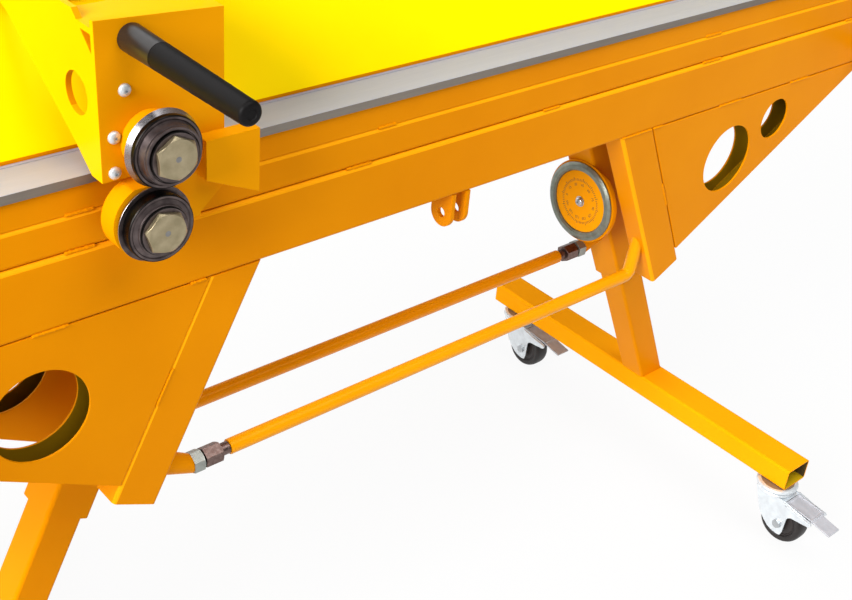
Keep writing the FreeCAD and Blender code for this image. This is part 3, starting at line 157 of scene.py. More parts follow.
def surface(name, base, other, rough, patch_mm, grain_mm, depth_mm, uneven=0.05,
            squeeze=(1, 1, 1), metallic=0):
    """A cloudy colour between two tones, an uneven gloss and a fine relief, in real sizes."""
    material, tree, shader = new_material(name)
    place = add(tree, "ShaderNodeTexCoord").outputs["Object"]
    wide = add(tree, "ShaderNodeMapping", {"Vector": place},
               Scale=tuple(s / (patch_mm * MM) for s in squeeze))
    cloud = add(tree, "ShaderNodeTexNoise", {"Vector": wide.outputs["Vector"]}, Scale=1, Detail=3)
    share = add(tree, "ShaderNodeMapRange", {"Value": cloud.outputs["Fac"]}, **NOISE_SPREAD)
    tone = add(tree, "ShaderNodeMix", {0: share.outputs["Result"]}, data_type="RGBA")
    tone.inputs[MIX_A].default_value = colour(base)
    tone.inputs[MIX_B].default_value = colour(other)
    fine = add(tree, "ShaderNodeMapping", {"Vector": place},
               Scale=tuple(s / (grain_mm * MM) for s in squeeze))
    grain = add(tree, "ShaderNodeTexNoise", {"Vector": fine.outputs["Vector"]}, Scale=1, Detail=2)
    gloss = add(tree, "ShaderNodeMapRange", {"Value": grain.outputs["Fac"]}, **NOISE_SPREAD,
                To_Min=rough - uneven, To_Max=rough + uneven)
    relief = add(tree, "ShaderNodeBump", {"Height": grain.outputs["Fac"]}, Distance=depth_mm * MM)
    tree.links.new(tone.outputs[MIX_RESULT], shader.inputs["Base Color"])
    tree.links.new(gloss.outputs["Result"], shader.inputs["Roughness"])
    tree.links.new(relief.outputs["Normal"], shader.inputs["Normal"])
    shader.inputs["Metallic"].default_value = metallic
    return material


# %% [markdown]
# ## Powder coat
# The frame is powder coated in a warm orange yellow. Powder is sprayed dry and melted in an
# oven, which leaves a thick glossy skin with a faint orange peel of hills a few millimetres
# apart. The relief gives those hills, and the broad cloud shifts the colour a little, as uneven
# film thickness does. The coat is tinted in its depth, so its gloss is warm and not white. The
# round rods are smooth enough to mirror a bright line. Lighter copies of the coat are painted
# light: on the rods, on the feet, as a painted highlight on the rolled corners, and on the
# cutter's sides that face the light. A darker copy is painted shade inside the gussets, and the
# feet's lower inner wall gets overspray and painted light.

# %% Powder coat
PEEL = {"patch_mm": 160, "grain_mm": 2.6, "depth_mm": 0.012, "uneven": 0.02}


def powder_coat(name, base, thin, rough=0.36, gloss=0.035):
    material = surface(name, base, thin, rough, **PEEL)
    shader = material.node_tree.nodes["Principled BSDF"]
    shader.inputs["Specular IOR Level"].default_value = gloss
    shader.inputs["Specular Tint"].default_value = colour("#FFC860")
    return material


orange_coat = powder_coat("powder_coat_orange", "#E28C02", "#DC8501")
yellow_coat = powder_coat("powder_coat_yellow", "#FCDC00", "#FCD400", rough=0.3)
# A lighter copy of the frame's orange for the tie rods: painted light.
rod_coat_painted_light = powder_coat("powder_coat_rods_painted_light", "#EC9C06", "#E89604", rough=0.24, gloss=0.3)
rear_rod_coat = powder_coat("powder_coat_rear_rod", "#DE8802", "#D88201", rough=0.24, gloss=0.3)
# A lighter copy of the frame's orange for the feet: painted light.
foot_coat_painted_light = powder_coat("powder_coat_feet_painted_light", "#EE9C06", "#EA9604")
cutter_coat = powder_coat("powder_coat_cutter", "#E89A02", "#E49402", rough=0.3)
# A lighter coat for the painted highlight along rolled corners.
painted_highlight_coat = powder_coat("powder_coat_painted_corner_highlight", "#F9A50E", "#F4A00C", rough=0.28)
# A lighter coat painted light on the cutter's sides that face the light.
painted_light_side_coat = powder_coat("powder_coat_painted_lit_side", "#F8BE02", "#F4B602", rough=0.3)
# A paler coat for the feet's inner lower wall: overspray and painted light.
overspray_and_painted_light = powder_coat("powder_coat_overspray_and_painted_light", "#B89410", "#A8860E", rough=0.4)
# A darker coat painted shade inside the gussets.
painted_shade_inside_coat = powder_coat("powder_coat_painted_shade_inside", "#94700C", "#84620A", rough=0.4)

# %% [markdown]
# ## Bare metals
# The two blades are bare steel, ground along their length. Grinding leaves fine scratches in one
# direction, so the pattern is squeezed along X. The bending blade's front face gets a darker
# brown grey, which is painted shade. Zinc plate on the casters and fittings is smooth and a
# little cloudy, dull on the trodden pedals, and a darker brownish zinc on the middle of the
# caster caps' tops. The couplings are raw brown steel from the lathe. The hubs are black from an
# oxide bath, with rims painted darker as painted shade, and the big bolts have a warm nickel
# plate. Each line gives two tones, the roughness, and the sizes of cloud, grain and relief in
# millimetres.

# %% Bare metals
ALONG_X = (0.03, 1, 1)
ground_steel = surface("ground_steel", "#B6BAC8", "#A6AAB8", 0.5, 60, 1.2, 0.01, 0.1, ALONG_X, 0.3)
# A darker brown grey for the bending blade's front face: painted shade.
painted_shade_blade_front = surface("painted_shade_blade_front", "#837A70", "#6E665E", 0.5, 30, 1.2, 0.01, 0.1,
                      (0.05, 1, 1), 0.5)
mill_scale = surface("mill_scale", "#4C3C1E", "#342A18", 0.5, 12, 0.8, 0.01, metallic=0.3)
zinc_plate = surface("zinc_plate", "#C9CCCE", "#AEB2B5", 0.3, 14, 0.6, 0.01, 0.1, metallic=1)
bright_zinc = surface("bright_zinc", "#DCE2E6", "#CBD0D4", 0.46, 14, 0.6, 0.006, 0.1, metallic=0.6)
dull_zinc = surface("dull_zinc", "#C2C3C9", "#B2B3B8", 0.5, 14, 0.6, 0.006, 0.1, metallic=0.4)
cap_top_brown_zinc = surface("cap_top_brown_zinc", "#8E7C66", "#806E58", 0.5, 16, 0.6, 0.006, 0.1, metallic=0.4)
rim_steel = surface("galvanised_rim", "#8A8F84", "#72776D", 0.42, 9, 0.6, 0.01, 0.1, metallic=0.8)
nut_zinc = surface("worn_zinc", "#A6AAA4", "#8E928C", 0.45, 14, 0.6, 0.01, 0.1, metallic=0.8)
raw_steel = surface("raw_brown_steel", "#84706A", "#64504A", 0.42, 4, 0.6, 0.01, 0.1, metallic=1)
blackened_steel = surface("blackened_steel", "#2A2726", "#1C1B1A", 0.38, 8, 0.6, 0.01, 0.1,
                          metallic=1)
hub_black = surface("black_oxide", "#6C605E", "#4A4040", 0.42, 10, 0.6, 0.006, 0.1, metallic=0.85)
bolt_nickel = surface("nickel_plate", "#B0A284", "#968A6C", 0.42, 12, 0.6, 0.006, 0.1,
                      metallic=0.9)
bolt_centre = surface("worn_nickel", "#8C8A88", "#7A7876", 0.5, 6, 0.6, 0.01, metallic=0.6)
knife_steel = surface("hardened_steel", "#A8A4A6", "#8E8A8C", 0.3, 30, 0.6, 0.006, 0.1, metallic=1)

# %% [markdown]
# ## Rubber and plastic
# The tyres and the grips are black rubber: dark, with a broad soft sheen. Moulded plastic is
# smoother. Printing ink is a thin matt film. All get a fine grain.

# %% Rubber and plastic
grip_rubber = surface("grip_rubber", "#0C0A0A", "#100E0E", 0.5, 20, 0.9, 0.02)
RUBBER_GLOSS = 0.12
grip_shader = grip_rubber.node_tree.nodes["Principled BSDF"]
grip_shader.inputs["Specular IOR Level"].default_value = RUBBER_GLOSS
grip_plastic = surface("glossy_pvc", "#1A1716", "#1F1C1B", 0.36, 20, 6.0, 0.004, 0.02)
tyre_rubber = surface("tyre_rubber", "#130E0C", "#1A1412", 0.5, 20, 1.4, 0.03)
rim_plastic = surface("moulded_nylon", "#1E1816", "#241D1B", 0.42, 20, 3.0, 0.008)
sliding_plastic = surface("acetal_liner", "#1A1A1B", "#202021", 0.35, 20, 2.0, 0.01)
dial_ink = surface("printing_ink", "#7A4806", "#6C3F05", 0.5, 20, 3.0, 0.002)

# %% [markdown]
# ## Helpers for edit mode and finishing
# An operator works on whatever is selected, as by hand, so each helper selects one piece first.
# Edges get a narrow bevel that catches the light, then smooth shading below a set angle.
# Weighted normals keep large faces flat, which plain smooth shading would bend.

# %% Selection and edit mode
MERGE = 0.002 * MM
NEARLY_FLAT = math.radians(0.5)


def deselect():
    bpy.ops.object.select_all(action="DESELECT")


def select_only(thing):
    deselect()
    thing.select_set(True)
    bpy.context.view_layer.objects.active = thing


def edit_all(piece):
    """Opens edit mode on one piece with all of it selected."""
    select_only(piece)
    bpy.ops.object.mode_set(mode="EDIT")
    bpy.ops.mesh.select_all(action="SELECT")


def leave_edit():
    bpy.ops.object.mode_set(mode="OBJECT")


def face_outwards():
    """Turns all faces of the piece in edit mode outwards and leaves edit mode."""
    bpy.ops.mesh.select_all(action="SELECT")
    bpy.ops.mesh.normals_make_consistent(inside=False)
    leave_edit()


def active(name):
    """The active object, named."""
    thing = bpy.context.active_object
    thing.name = name
    thing.data.name = name
    return thing


# %% Modifiers, shading and paint
def apply_modifiers(piece):
    select_only(piece)
    for modifier in list(piece.modifiers):
        bpy.ops.object.modifier_apply(modifier=modifier.name)


def round_edges(piece, width_mm, angle=30, segments=2, outer="MITER_SHARP"):
    bevel = piece.modifiers.new("edge", "BEVEL")
    bevel.width = width_mm * MM
    bevel.segments = segments
    bevel.limit_method = "ANGLE"
    bevel.angle_limit = math.radians(angle)
    bevel.miter_outer = outer
    apply_modifiers(piece)
    return piece


def paint(piece, material, angle=35):
    """One finish all over, and smooth shading below the angle."""
    piece.data.materials.clear()
    piece.data.materials.append(material)
    select_only(piece)
    bpy.ops.object.shade_smooth_by_angle(angle=math.radians(angle))
    flat = piece.modifiers.new("flat", "WEIGHTED_NORMAL")
    flat.keep_sharp = True
    apply_modifiers(piece)
    return piece


# %% [markdown]
# ## Finishing the CAD nodes
# The frame's tubes and plates already have the right shape. What they lack is the small radius
# on every edge. A copy of each node has its loose triangles merged and gets that radius. The
# copy rides on the node's body and stands in its place.

# %% Finish a node
EDGE_MM = 0.6
SLOT_OF = {row["node"]: row["material_slot"] for row in frame["record"]["subparts"]}


def body_of(node):
    return nodes[node]["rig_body"]


def mount(piece, body, slot, *replaced):
    """Puts a piece on its body and hides the CAD nodes it stands for. The slot is not used."""
    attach(piece, body)
    if replaced:
        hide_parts(*replaced)
    return piece


def merged_copy(node, name):
    """A copy of a CAD node, free of the frame, merged and left open in edit mode."""
    copy = nodes[node].copy()
    copy.data = nodes[node].data.copy()
    copy.name = name
    copy.data.name = name
    copy.parent = None
    copy.hide_render = False
    for key in list(copy.keys()):
        del copy[key]
    bpy.context.scene.collection.objects.link(copy)
    edit_all(copy)
    bpy.ops.mesh.remove_doubles(threshold=MERGE)
    bpy.ops.mesh.customdata_custom_splitnormals_clear()
    return copy


def flat_faces():
    """Joins the triangles of each flat face of the open piece and leaves edit mode."""
    bpy.ops.mesh.dissolve_limited(angle_limit=NEARLY_FLAT)
    leave_edit()


def finish_node(node, material):
    """A merged, bevelled and smooth copy that stands for the node."""
    copy = merged_copy(node, node + "_finished")
    flat_faces()
    round_edges(copy, EDGE_MM, outer="MITER_ARC")
    paint(copy, material)
    mount(copy, body_of(node), SLOT_OF[node], node)


# %% All plain nodes
FINISHES = {
    "orange_paint": orange_coat,
    "yellow_paint": yellow_coat,
    "bare_steel": ground_steel,
    "zinc_steel": zinc_plate,
    "black_steel": blackened_steel,
    "black_rubber": grip_rubber,
    "black_plastic": sliding_plastic,
}
OTHER_FINISH = {
    "cutter_frame": cutter_coat, "cutter_guide": cutter_coat,
    "front_tie_rod": rod_coat_painted_light, "rear_tie_rod": rear_rod_coat,
    "left_foot": foot_coat_painted_light, "right_foot": foot_coat_painted_light,
}
MADE_BELOW = {
    "upper_knife", "lower_knife", "upper_hub", "lower_hub", "cutter_grip", "cutter_screws",
    "dial_face", "dial_rim", "caster_stems", "handle_grips",
    "front_tie_fittings", "rear_tie_fittings",
}
CASTER_CORNERS = ("front_left", "front_right", "rear_left", "rear_right")
for node in sorted(nodes):
    if node not in MADE_BELOW and not node.startswith(CASTER_CORNERS):
        finish_node(node, OTHER_FINISH.get(node, FINISHES[SLOT_OF[node]]))

# %% [markdown]
# ## Faces with a finish of their own
# The bending blade's top is ground steel, and its front face gets a darker brown grey as painted
# shade. A lighter coat is a painted highlight on the rolled corners of the tubes and struts, and
# another is painted light on the cutter's sides that face the light. A darker coat is painted
# shade inside the folded gussets. The inside of the open feet is dark mill scale, and its lower
# wall, which faces up, gets overspray and painted light. The faces are chosen by the way they
# look and by their place in the node's box.

# %% Second finishes
def second_finish(node, material, chosen):
    """Gives the chosen faces of a finished node another material."""
    piece = bpy.data.objects[node + "_finished"]
    piece.data.materials.append(material)
    faces = [face for face in piece.data.polygons if chosen(face)]
    for face in faces:
        face.material_index = len(piece.data.materials) - 1
    print(node, len(faces), "faces with", material.name)


TUBE_WALL = 2.2 * MM
SKIN = 1 * MM
LARGE_FACE = 5e-3  # square metres
CUTTER_SIDE_FROM = 0.9  # metres above the floor
# The bending blade's front face: painted shade.
second_finish("bending_blade", painted_shade_blade_front, lambda face: face.normal.y < -0.8)
# The cutter's sides that face the light, and its top: painted light.
second_finish("cutter_frame", painted_light_side_coat,
              lambda face: (face.normal.x < -0.5 or face.normal.z > 0.8)
              and face.center.z > CUTTER_SIDE_FROM)
# Rolled front corners of the tubes and struts: painted highlight.
for node in ("lower_tube", "middle_tube"):
    second_finish(node, painted_highlight_coat, lambda face: face.normal.y < -0.1 and face.normal.z > 0.1)
for node in ("left_strut", "right_strut"):
    second_finish(node, painted_highlight_coat, lambda face: face.normal.y < -0.1 and face.normal.x < -0.1)
# Inside the gussets: painted shade.
for node in ("left_gusset", "right_gusset", "frame_gussets"):
    low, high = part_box(node)
    second_finish(node, painted_shade_inside_coat, lambda face: (face.normal.z > 0.5 and face.area > LARGE_FACE)
                  or low.y + SKIN < face.center.y < high.y - SKIN and abs(face.normal.y) > 0.9)
for node in ("left_foot", "right_foot"):
    low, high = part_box(node)
    second_finish(node, mill_scale, lambda face: abs(face.normal.y) < 0.5
                  and low.x + TUBE_WALL < face.center.x < high.x - TUBE_WALL
                  and low.z + TUBE_WALL < face.center.z < high.z - TUBE_WALL)
    # The feet's inner lower wall, which faces up: overspray and painted light.
    second_finish(node, overspray_and_painted_light, lambda face: face.normal.z > 0.5
                  and low.z + TUBE_WALL < face.center.z < low.z + 2 * TUBE_WALL)

# %% [markdown]
# ## Turned pieces
# Knives, hubs, wheels, washers and grips are all turned on a lathe or moulded round. Each one is
# drawn as a lathe hand reads it: a list of radius and height, ring by ring. A circle is added for
# the first ring and extruded and scaled for every next one, which keeps full control of steps,
# grooves and roundings. A hollow ring is drawn without a cap and closes on its own first edge.

# %% Turned pieces
def turned(name, profile, segments=48, hollow=False):
    """A body of revolution along +Z from rings of (radius, height) in millimetres."""
    deselect()
    radius, height = profile[0]
    bpy.ops.mesh.primitive_circle_add(vertices=segments, radius=radius * MM,
                                      fill_type="NOTHING" if hollow else "NGON")
    piece = active(name)
    edit_all(piece)
    bpy.ops.transform.translate(value=(0, 0, height * MM))
    for next_radius, next_height in profile[1:]:
        rise = {"value": (0, 0, (next_height - height) * MM)}
        bpy.ops.mesh.extrude_region_move(TRANSFORM_OT_translate=rise)
        factor = next_radius / radius
        bpy.ops.transform.resize(value=(factor, factor, 1), center_override=(0, 0, 0))
        radius, height = next_radius, next_height
    bpy.ops.mesh.select_all(action="SELECT")
    bpy.ops.mesh.remove_doubles(threshold=MERGE)
    face_outwards()
    return piece


def both_sides(half):
    """The closed profile of a ring from its lower half."""
    return half + [(radius, -height) for radius, height in reversed(half)] + half[:1]


# %% Placing, joining and copying
def settle(piece, place_mm=(0, 0, 0), way=(0, 0, 1), roll=0):
    """Turns +Z of a piece to the given way, moves it and leaves the place in its mesh."""
    select_only(piece)
    turning = Vector(way).to_track_quat("Z", "Y").to_matrix().to_4x4()
    place = Matrix.Translation(Vector(place_mm) * MM)
    piece.matrix_world = place @ turning @ Matrix.Rotation(math.radians(roll), 4, "Z")
    bpy.ops.object.transform_apply()
    return piece


def joined(name, parts):
    """Joins parts into one object that keeps their materials."""
    deselect()
    for part in parts:
        part.select_set(True)
    bpy.context.view_layer.objects.active = parts[0]
    if len(parts) > 1:
        bpy.ops.object.join()
    return active(name)


def copied(piece, name, shift_mm):
    """A copy with its own mesh, moved by the given step."""
    twin = piece.copy()
    twin.data = piece.data.copy()
    twin.name = name
    twin.data.name = name
    bpy.context.scene.collection.objects.link(twin)
    twin.location = Vector(shift_mm) * MM
    select_only(twin)
    bpy.ops.object.transform_apply()
    return twin


def middle(node):
    """The centre of a CAD node's box in millimetres."""
    return [(a + b) / 2 / MM for a, b in zip(*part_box(node))]


# %% Hexagons
CHAMFER_RISE = 0.6  # about the tangent of 30 degrees


def hex_head(name, corners, high, cone=1.0):
    """A hexagon whose corners are cut by a shallow cone, as on every forged bolt and nut."""
    deselect()
    bpy.ops.mesh.primitive_cylinder_add(vertices=6, radius=corners / 2 * MM, depth=high * MM,
                                        location=(0, 0, high / 2 * MM))
    head = active(name)
    bpy.ops.object.transform_apply()
    across = corners / 2 * math.cos(math.radians(30))
    outside = corners / 2 + 1
    chamfer = turned(name + "_chamfer", [
        (outside, -1), (outside, high - cone * (outside - across) * CHAMFER_RISE),
        (across * 0.98, high), (across * 0.5, high)], 36)
    cut = head.modifiers.new("chamfer", "BOOLEAN")
    cut.operation = "INTERSECT"
    cut.object = chamfer
    apply_modifiers(head)
    bpy.data.objects.remove(chamfer)
    return round_edges(head, 0.25, 25, 1)


# %% [markdown]
# ## Knives and hubs
# Two hardened steel discs shear the sheet between their rims. Each sits on a black turned hub
# with a collar, a groove and a washer face, held by a large hex bolt. The discs are ground, so
# they show bright at the rim behind the hub. Behind the disc the hub is a painted spacer on its
# arbor. The hub is turned in one piece, because its steps then meet without gaps.

# %% Knives
ARBOR = 13
for node, bevel_side in (("upper_knife", -1), ("lower_knife", 1)):
    low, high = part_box(node)
    centre = middle(node)
    radius = (high.z - low.z) / 2 / MM
    thick = (high.y - low.y) / MM
    bore = ARBOR + 0.05
    disc = turned(node + "_disc", [
        (bore, 0), (radius - 3.4, 0), (radius - 3.1, 0.2), (radius - 0.1, thick - 0.5),
        (radius, thick - 0.3), (radius - 0.2, thick), (bore, thick), (bore, 0)], 96, hollow=True)
    start = (low.y if bevel_side < 0 else high.y) / MM
    settle(disc, (centre[0], start, centre[2]), (0, -bevel_side, 0))
    paint(disc, knife_steel, 25)
    disc.data.materials.append(hub_black)
    for face in disc.data.polygons:
        if face.normal.y < -0.9:
            face.material_index = 1
    mount(disc, node, "bare_steel", node)
    print(node, "radius", round(radius, 1), "mm")

# %% Hubs
BLACK_DISC_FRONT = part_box("upper_knife")[0].y / MM - 6
SPACER = 30
WASHER = 25.3
BOLT_CORNERS = 46


def knife_hub(level_name, nose, nose_long, seat, narrower, roll):
    """Black disc, cone, nose, washer and bolt in front of a knife, spacer and arbor behind it."""
    node = level_name + "_hub"
    knife_low, knife_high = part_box(level_name + "_knife")
    low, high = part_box(node)
    front = knife_low.y / MM
    top = front - low.y / MM
    thick = (knife_high.y - knife_low.y) / MM
    back = high.y / MM - front
    disc = front - BLACK_DISC_FRONT
    long = disc + nose_long
    rim = (high.z - low.z) / 2 / MM - narrower
    spacer_rings = [
        (1, -back), (ARBOR - 0.8, -back), (ARBOR, -back + 0.8), (ARBOR, -seat),
        (SPACER - 0.4, -seat), (SPACER, -seat + 0.4), (SPACER, -thick), (ARBOR, -thick)]
    disc_rings = [
        (ARBOR, 0), (rim - 0.4, 0), (rim, 0.4), (rim, disc - 1.2), (rim - 0.6, disc - 0.2),
        (rim - 1.4, disc), (rim - 3.4, disc), (rim - 4.4, disc - 0.7)]
    nose_rings = [
        (nose + 1.4, long - 3.2), (nose + 0.2, long - 2.6), (nose + 0.2, long - 2.2),
        (nose + 0.9, long - 1.7), (nose + 0.6, long - 0.4), (nose, long),
        (nose - 1.8, long), (nose - 2.3, long - 1.5), (2, long - 1.5)]
    body = turned(node + "_body", spacer_rings + disc_rings + nose_rings, 80)
    washer_top = long + 2.2
    washer = turned(node + "_washer", [
        (4, long - 1.6), (WASHER - 0.7, long - 1.6), (WASHER, long - 0.9), (WASHER, long + 1.6),
        (WASHER - 0.9, washer_top), (4, washer_top)], 56)
    head = hex_head(node + "_bolt", BOLT_CORNERS, top - washer_top, 1.4)
    settle(head, (0, 0, washer_top), roll=roll)
    mark = turned(node + "_mark", [
        (2.6, top + 0.02), (3.0, top + 0.02), (2.6, top - 0.02), (1.1, top + 0.01)], 24)
    for part, material in ((body, hub_black), (washer, hub_black), (head, bolt_nickel),
                           (mark, bolt_centre)):
        paint(part, material, 30)
    for material in (cutter_coat, blackened_steel):
        body.data.materials.append(material)
    for ring in body.data.polygons:
        if ring.center.z / MM < -thick - 0.5:
            ring.material_index = 1
        # The black disc's rim is painted darker: painted shade.
        elif math.hypot(ring.center.x, ring.center.y) / MM > rim - 1.6:
            ring.material_index = 2
    # The washer's sides are painted darker: painted shade.
    washer.data.materials.append(blackened_steel)
    for ring in washer.data.polygons:
        ring.material_index = int(abs(ring.normal.z) < 0.9)
    whole = joined(node + "_turned", [body, washer, head, mark])
    x, _, z = middle(node)
    settle(whole, (x, front, z), (0, -1, 0))
    mount(whole, level_name + "_knife", "black_steel", node)


knife_hub("upper", nose=28.5, nose_long=10, seat=29.8, narrower=0, roll=4)
knife_hub("lower", nose=26, nose_long=4, seat=7.7, narrower=1.3, roll=17)

# %% [markdown]
# ## Cutter grip and screws
# The cutter is pushed along by a steel stub with a glossy PVC root and a rubber sleeve. The whole
# tapers to its tip. The sleeve keeps faint rings from its mould, so every second ring of its
# profile lies a little deeper, and its tip is a quarter round.

# %% Cutter grip
GRIP_ROOT = 14
GRIP_TIP = 11.25
ROOT_LONG = 52
TIP_ROUND = 4
SLEEVE_RINGS = 16
low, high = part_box("cutter_grip")
GRIP_LONG = (high.y - low.y) / MM


def grip_radius(place):
    return GRIP_ROOT + (GRIP_TIP - GRIP_ROOT) * place / GRIP_LONG


root = turned("cutter_grip_root", [
    (8, 0), (GRIP_ROOT - 0.6, 0), (GRIP_ROOT, 0.6), (GRIP_ROOT, 4), (grip_radius(20), 20),
    (grip_radius(ROOT_LONG) - 0.1, ROOT_LONG - 1), (8, ROOT_LONG)], 48)
rings = [
    (8, ROOT_LONG - 0.6), (grip_radius(ROOT_LONG) - 0.5, ROOT_LONG - 0.6),
    (grip_radius(ROOT_LONG), ROOT_LONG)]
for step in range(1, SLEEVE_RINGS):
    place = ROOT_LONG + step * (GRIP_LONG - ROOT_LONG - 12) / SLEEVE_RINGS
    rings.append((grip_radius(place) - 0.12 * (step % 2), place))
for angle in (0, 20, 40, 60, 78):
    lean = math.radians(angle)
    rings.append((GRIP_TIP - TIP_ROUND + TIP_ROUND * math.cos(lean),
                  GRIP_LONG - TIP_ROUND + TIP_ROUND * math.sin(lean)))
rings += [(5, GRIP_LONG), (4.4, GRIP_LONG - 0.8), (1, GRIP_LONG - 0.8)]
sleeve = paint(turned("cutter_grip_sleeve", rings, 48), grip_rubber, 40)
grip = joined("cutter_grip_whole", [sleeve, paint(root, grip_plastic, 40)])
x, _, z = middle("cutter_grip")
settle(grip, (x, high.y / MM, z), (0, -1, 0))
mount(grip, "cutter", "black_rubber", "cutter_grip")
print("grip", round(GRIP_LONG), "mm long")

# %% Dome screws
DOME_STEPS = 6
DOME_STEP = 13  # degrees
SCREW_PLACES = ((-474, 991), (-487, 947), (-488, 911))


def dome_screw(name, radius, high, socket):
    """A short wall, a dome above it and a socket in the top."""
    wall = high * 0.15
    full = math.sin(math.radians(DOME_STEPS * DOME_STEP))
    profile = [(radius * 0.6, 0), (radius, 0), (radius, wall)]
    for step in range(1, DOME_STEPS + 1):
        angle = math.radians(step * DOME_STEP)
        profile.append((radius * math.cos(angle), wall + high * 0.85 * math.sin(angle) / full))
    profile += [(socket * 1.1, high), (socket, high), (socket, high - 1.6),
                (socket * 0.3, high - 2.2)]
    return turned(name, profile, 30)


plate_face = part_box("cutter_screws")[1].y / MM
screws = []
for number, (across, up_there) in enumerate(SCREW_PLACES):
    screw = dome_screw("cutter_screw_%d" % number, 6.4, 4.2, 2.1)
    screws.append(settle(screw, (across, plate_face, up_there), (0, -1, 0), 20 * number))
screws = joined("cutter_dome_screws", screws)
mount(paint(screws, bright_zinc, 40), "cutter", "zinc_steel", "cutter_screws")

# %% [markdown]
# ## Angle dial
# The dial is a painted steel disc in a bare rim with a round wall. Its scale is printed: a ring of
# short strokes and plain numbers. The strokes and numbers are made as thin inlaid shapes, so
# they stay crisp from any side. The dial is drawn lying on its back with its face towards -Z, and
# the numbers are turned over, so that they read rightly once it hangs upright.

# %% Dial rim and face
low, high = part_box("dial_rim")
dial_centre = (low + high) / 2 / MM
dial_centre.x = low.x / MM
TOWARDS_DIAL_BACK = (1, 0, 0)
rim = turned("dial_rim_ring", [
    (49.2, 3.4), (50.6, 1.5), (51.6, 1.3), (52.2, 0.2), (53, 0), (57, 0), (58.4, 0.3),
    (61.8, 2.6), (62.5, 3.2), (62.5, 5.4), (61.9, 6), (49.2, 6), (49.2, 3.4)], 96, hollow=True)
settle(rim, dial_centre, TOWARDS_DIAL_BACK)
mount(paint(rim, rim_steel, 40), "dial", "zinc_steel", "dial_rim")
face = turned("dial_face_plate", [(48.9, 6), (48.9, 4.2), (48.6, 4), (30, 4), (12, 4)], 96)
paint(face, powder_coat("powder_coat_dial", "#F7A10A", "#F29A06", rough=0.34), 40)

# %% Dial scale
STROKES = 72
LONG_EVERY = 6
NUMBERS = 12
NUMBER_RADIUS = 27
INK_PLANE = 3.93
INK_THICK = 0.12
marks = []
for number in range(STROKES):
    long, radius = (5.4, 35.5) if number % LONG_EVERY == 0 else (3.6, 34.4)
    deselect()
    bpy.ops.mesh.primitive_plane_add(size=1)
    stroke = active("stroke")
    stroke.scale = (0.9 * MM, long * MM, 1)
    stroke.location = (0, radius * MM, INK_PLANE * MM)
    bpy.ops.object.transform_apply()
    marks.append(settle(stroke, roll=number * 360 / STROKES))
for number in range(NUMBERS):
    deselect()
    bpy.ops.object.text_add()
    text = bpy.context.active_object
    text.data.body = str(number * 15)
    text.data.size = 6.0 * MM
    text.data.align_x = "CENTER"
    text.data.align_y = "CENTER"
    bpy.ops.object.convert(target="MESH")
    text = active("number")
    text.scale = (-1, 1, 1)
    text.location = (0, NUMBER_RADIUS * MM, INK_PLANE * MM)
    bpy.ops.object.transform_apply()
    marks.append(settle(text, roll=number * 360 / NUMBERS))
scale_marks = joined("dial_scale", marks)
edit_all(scale_marks)
face_outwards()
ink = scale_marks.modifiers.new("ink", "SOLIDIFY")
ink.thickness = INK_THICK * MM
ink.offset = 0
apply_modifiers(scale_marks)
paint(scale_marks, dial_ink, 30)

# %% Dial screw, and the dial put together
screw = dome_screw("dial_screw", 7.2, 4.6, 2.4)
settle(screw, (0, 0, 3), (0, 0, -1))
washer = turned("dial_washer", [(4, 4.1), (8.2, 4.1), (8.6, 3.7), (8.2, 3.1), (4, 3)], 40)
paint(screw, zinc_plate, 40)
paint(washer, zinc_plate, 40)
face = joined("dial_face_printed", [face, scale_marks, screw, washer])
settle(face, dial_centre, TOWARDS_DIAL_BACK, 90)
mount(face, "dial", "yellow_paint", "dial_face")
print("dial at", [round(value) for value in dial_centre], "with", len(marks), "marks")

# %% [markdown]
# ## Casters
# Each foot stands on two swivel casters with a brake. From above one sees a zinc cap on the foot,
# a pressed fork with two cheeks whose forward edges are folded out to a narrow flange, a moulded
# black wheel on a hex bolt, and a brake pedal with a lip. The front right one is modelled, and
# copies of it stand at the other three corners. Sheet parts are drawn flat as an outline, given
# their thickness and then stood upright, as a press brake would get them from the laser.

# %% Caster sheet helpers
def plate(name, outline, thick, edge_mm=0.5):
    """A flat piece with the outline in its own XY plane and the thickness along +Z."""
    deselect()
    bpy.ops.mesh.primitive_circle_add(vertices=len(outline), radius=1, fill_type="NGON")
    piece = active(name)
    for vertex, (x, y) in zip(piece.data.vertices, outline):
        vertex.co = (x * MM, y * MM, 0)
    edit_all(piece)
    bpy.ops.mesh.extrude_region_move(TRANSFORM_OT_translate={"value": (0, 0, thick * MM)})
    face_outwards()
    return round_edges(piece, edge_mm)


def upright(piece, start_mm):
    """Stands a plate drawn as (back, up) on its edge. Its thickness runs along X from the start."""
    select_only(piece)
    piece.matrix_world = Matrix((
        (0, 0, 1, start_mm * MM), (1, 0, 0, 0), (0, 1, 0, 0), (0, 0, 0, 1)))
    bpy.ops.object.transform_apply()
    return piece


def slab(name, low, high, edge_mm, segments):
    """A block between two corners, in millimetres, with rounded edges."""
    deselect()
    bpy.ops.mesh.primitive_cube_add(size=1)
    piece = active(name)
    piece.scale = [(b - a) * MM for a, b in zip(low, high)]
    piece.location = [(a + b) / 2 * MM for a, b in zip(low, high)]
    bpy.ops.object.transform_apply()
    return round_edges(piece, edge_mm, segments=segments)


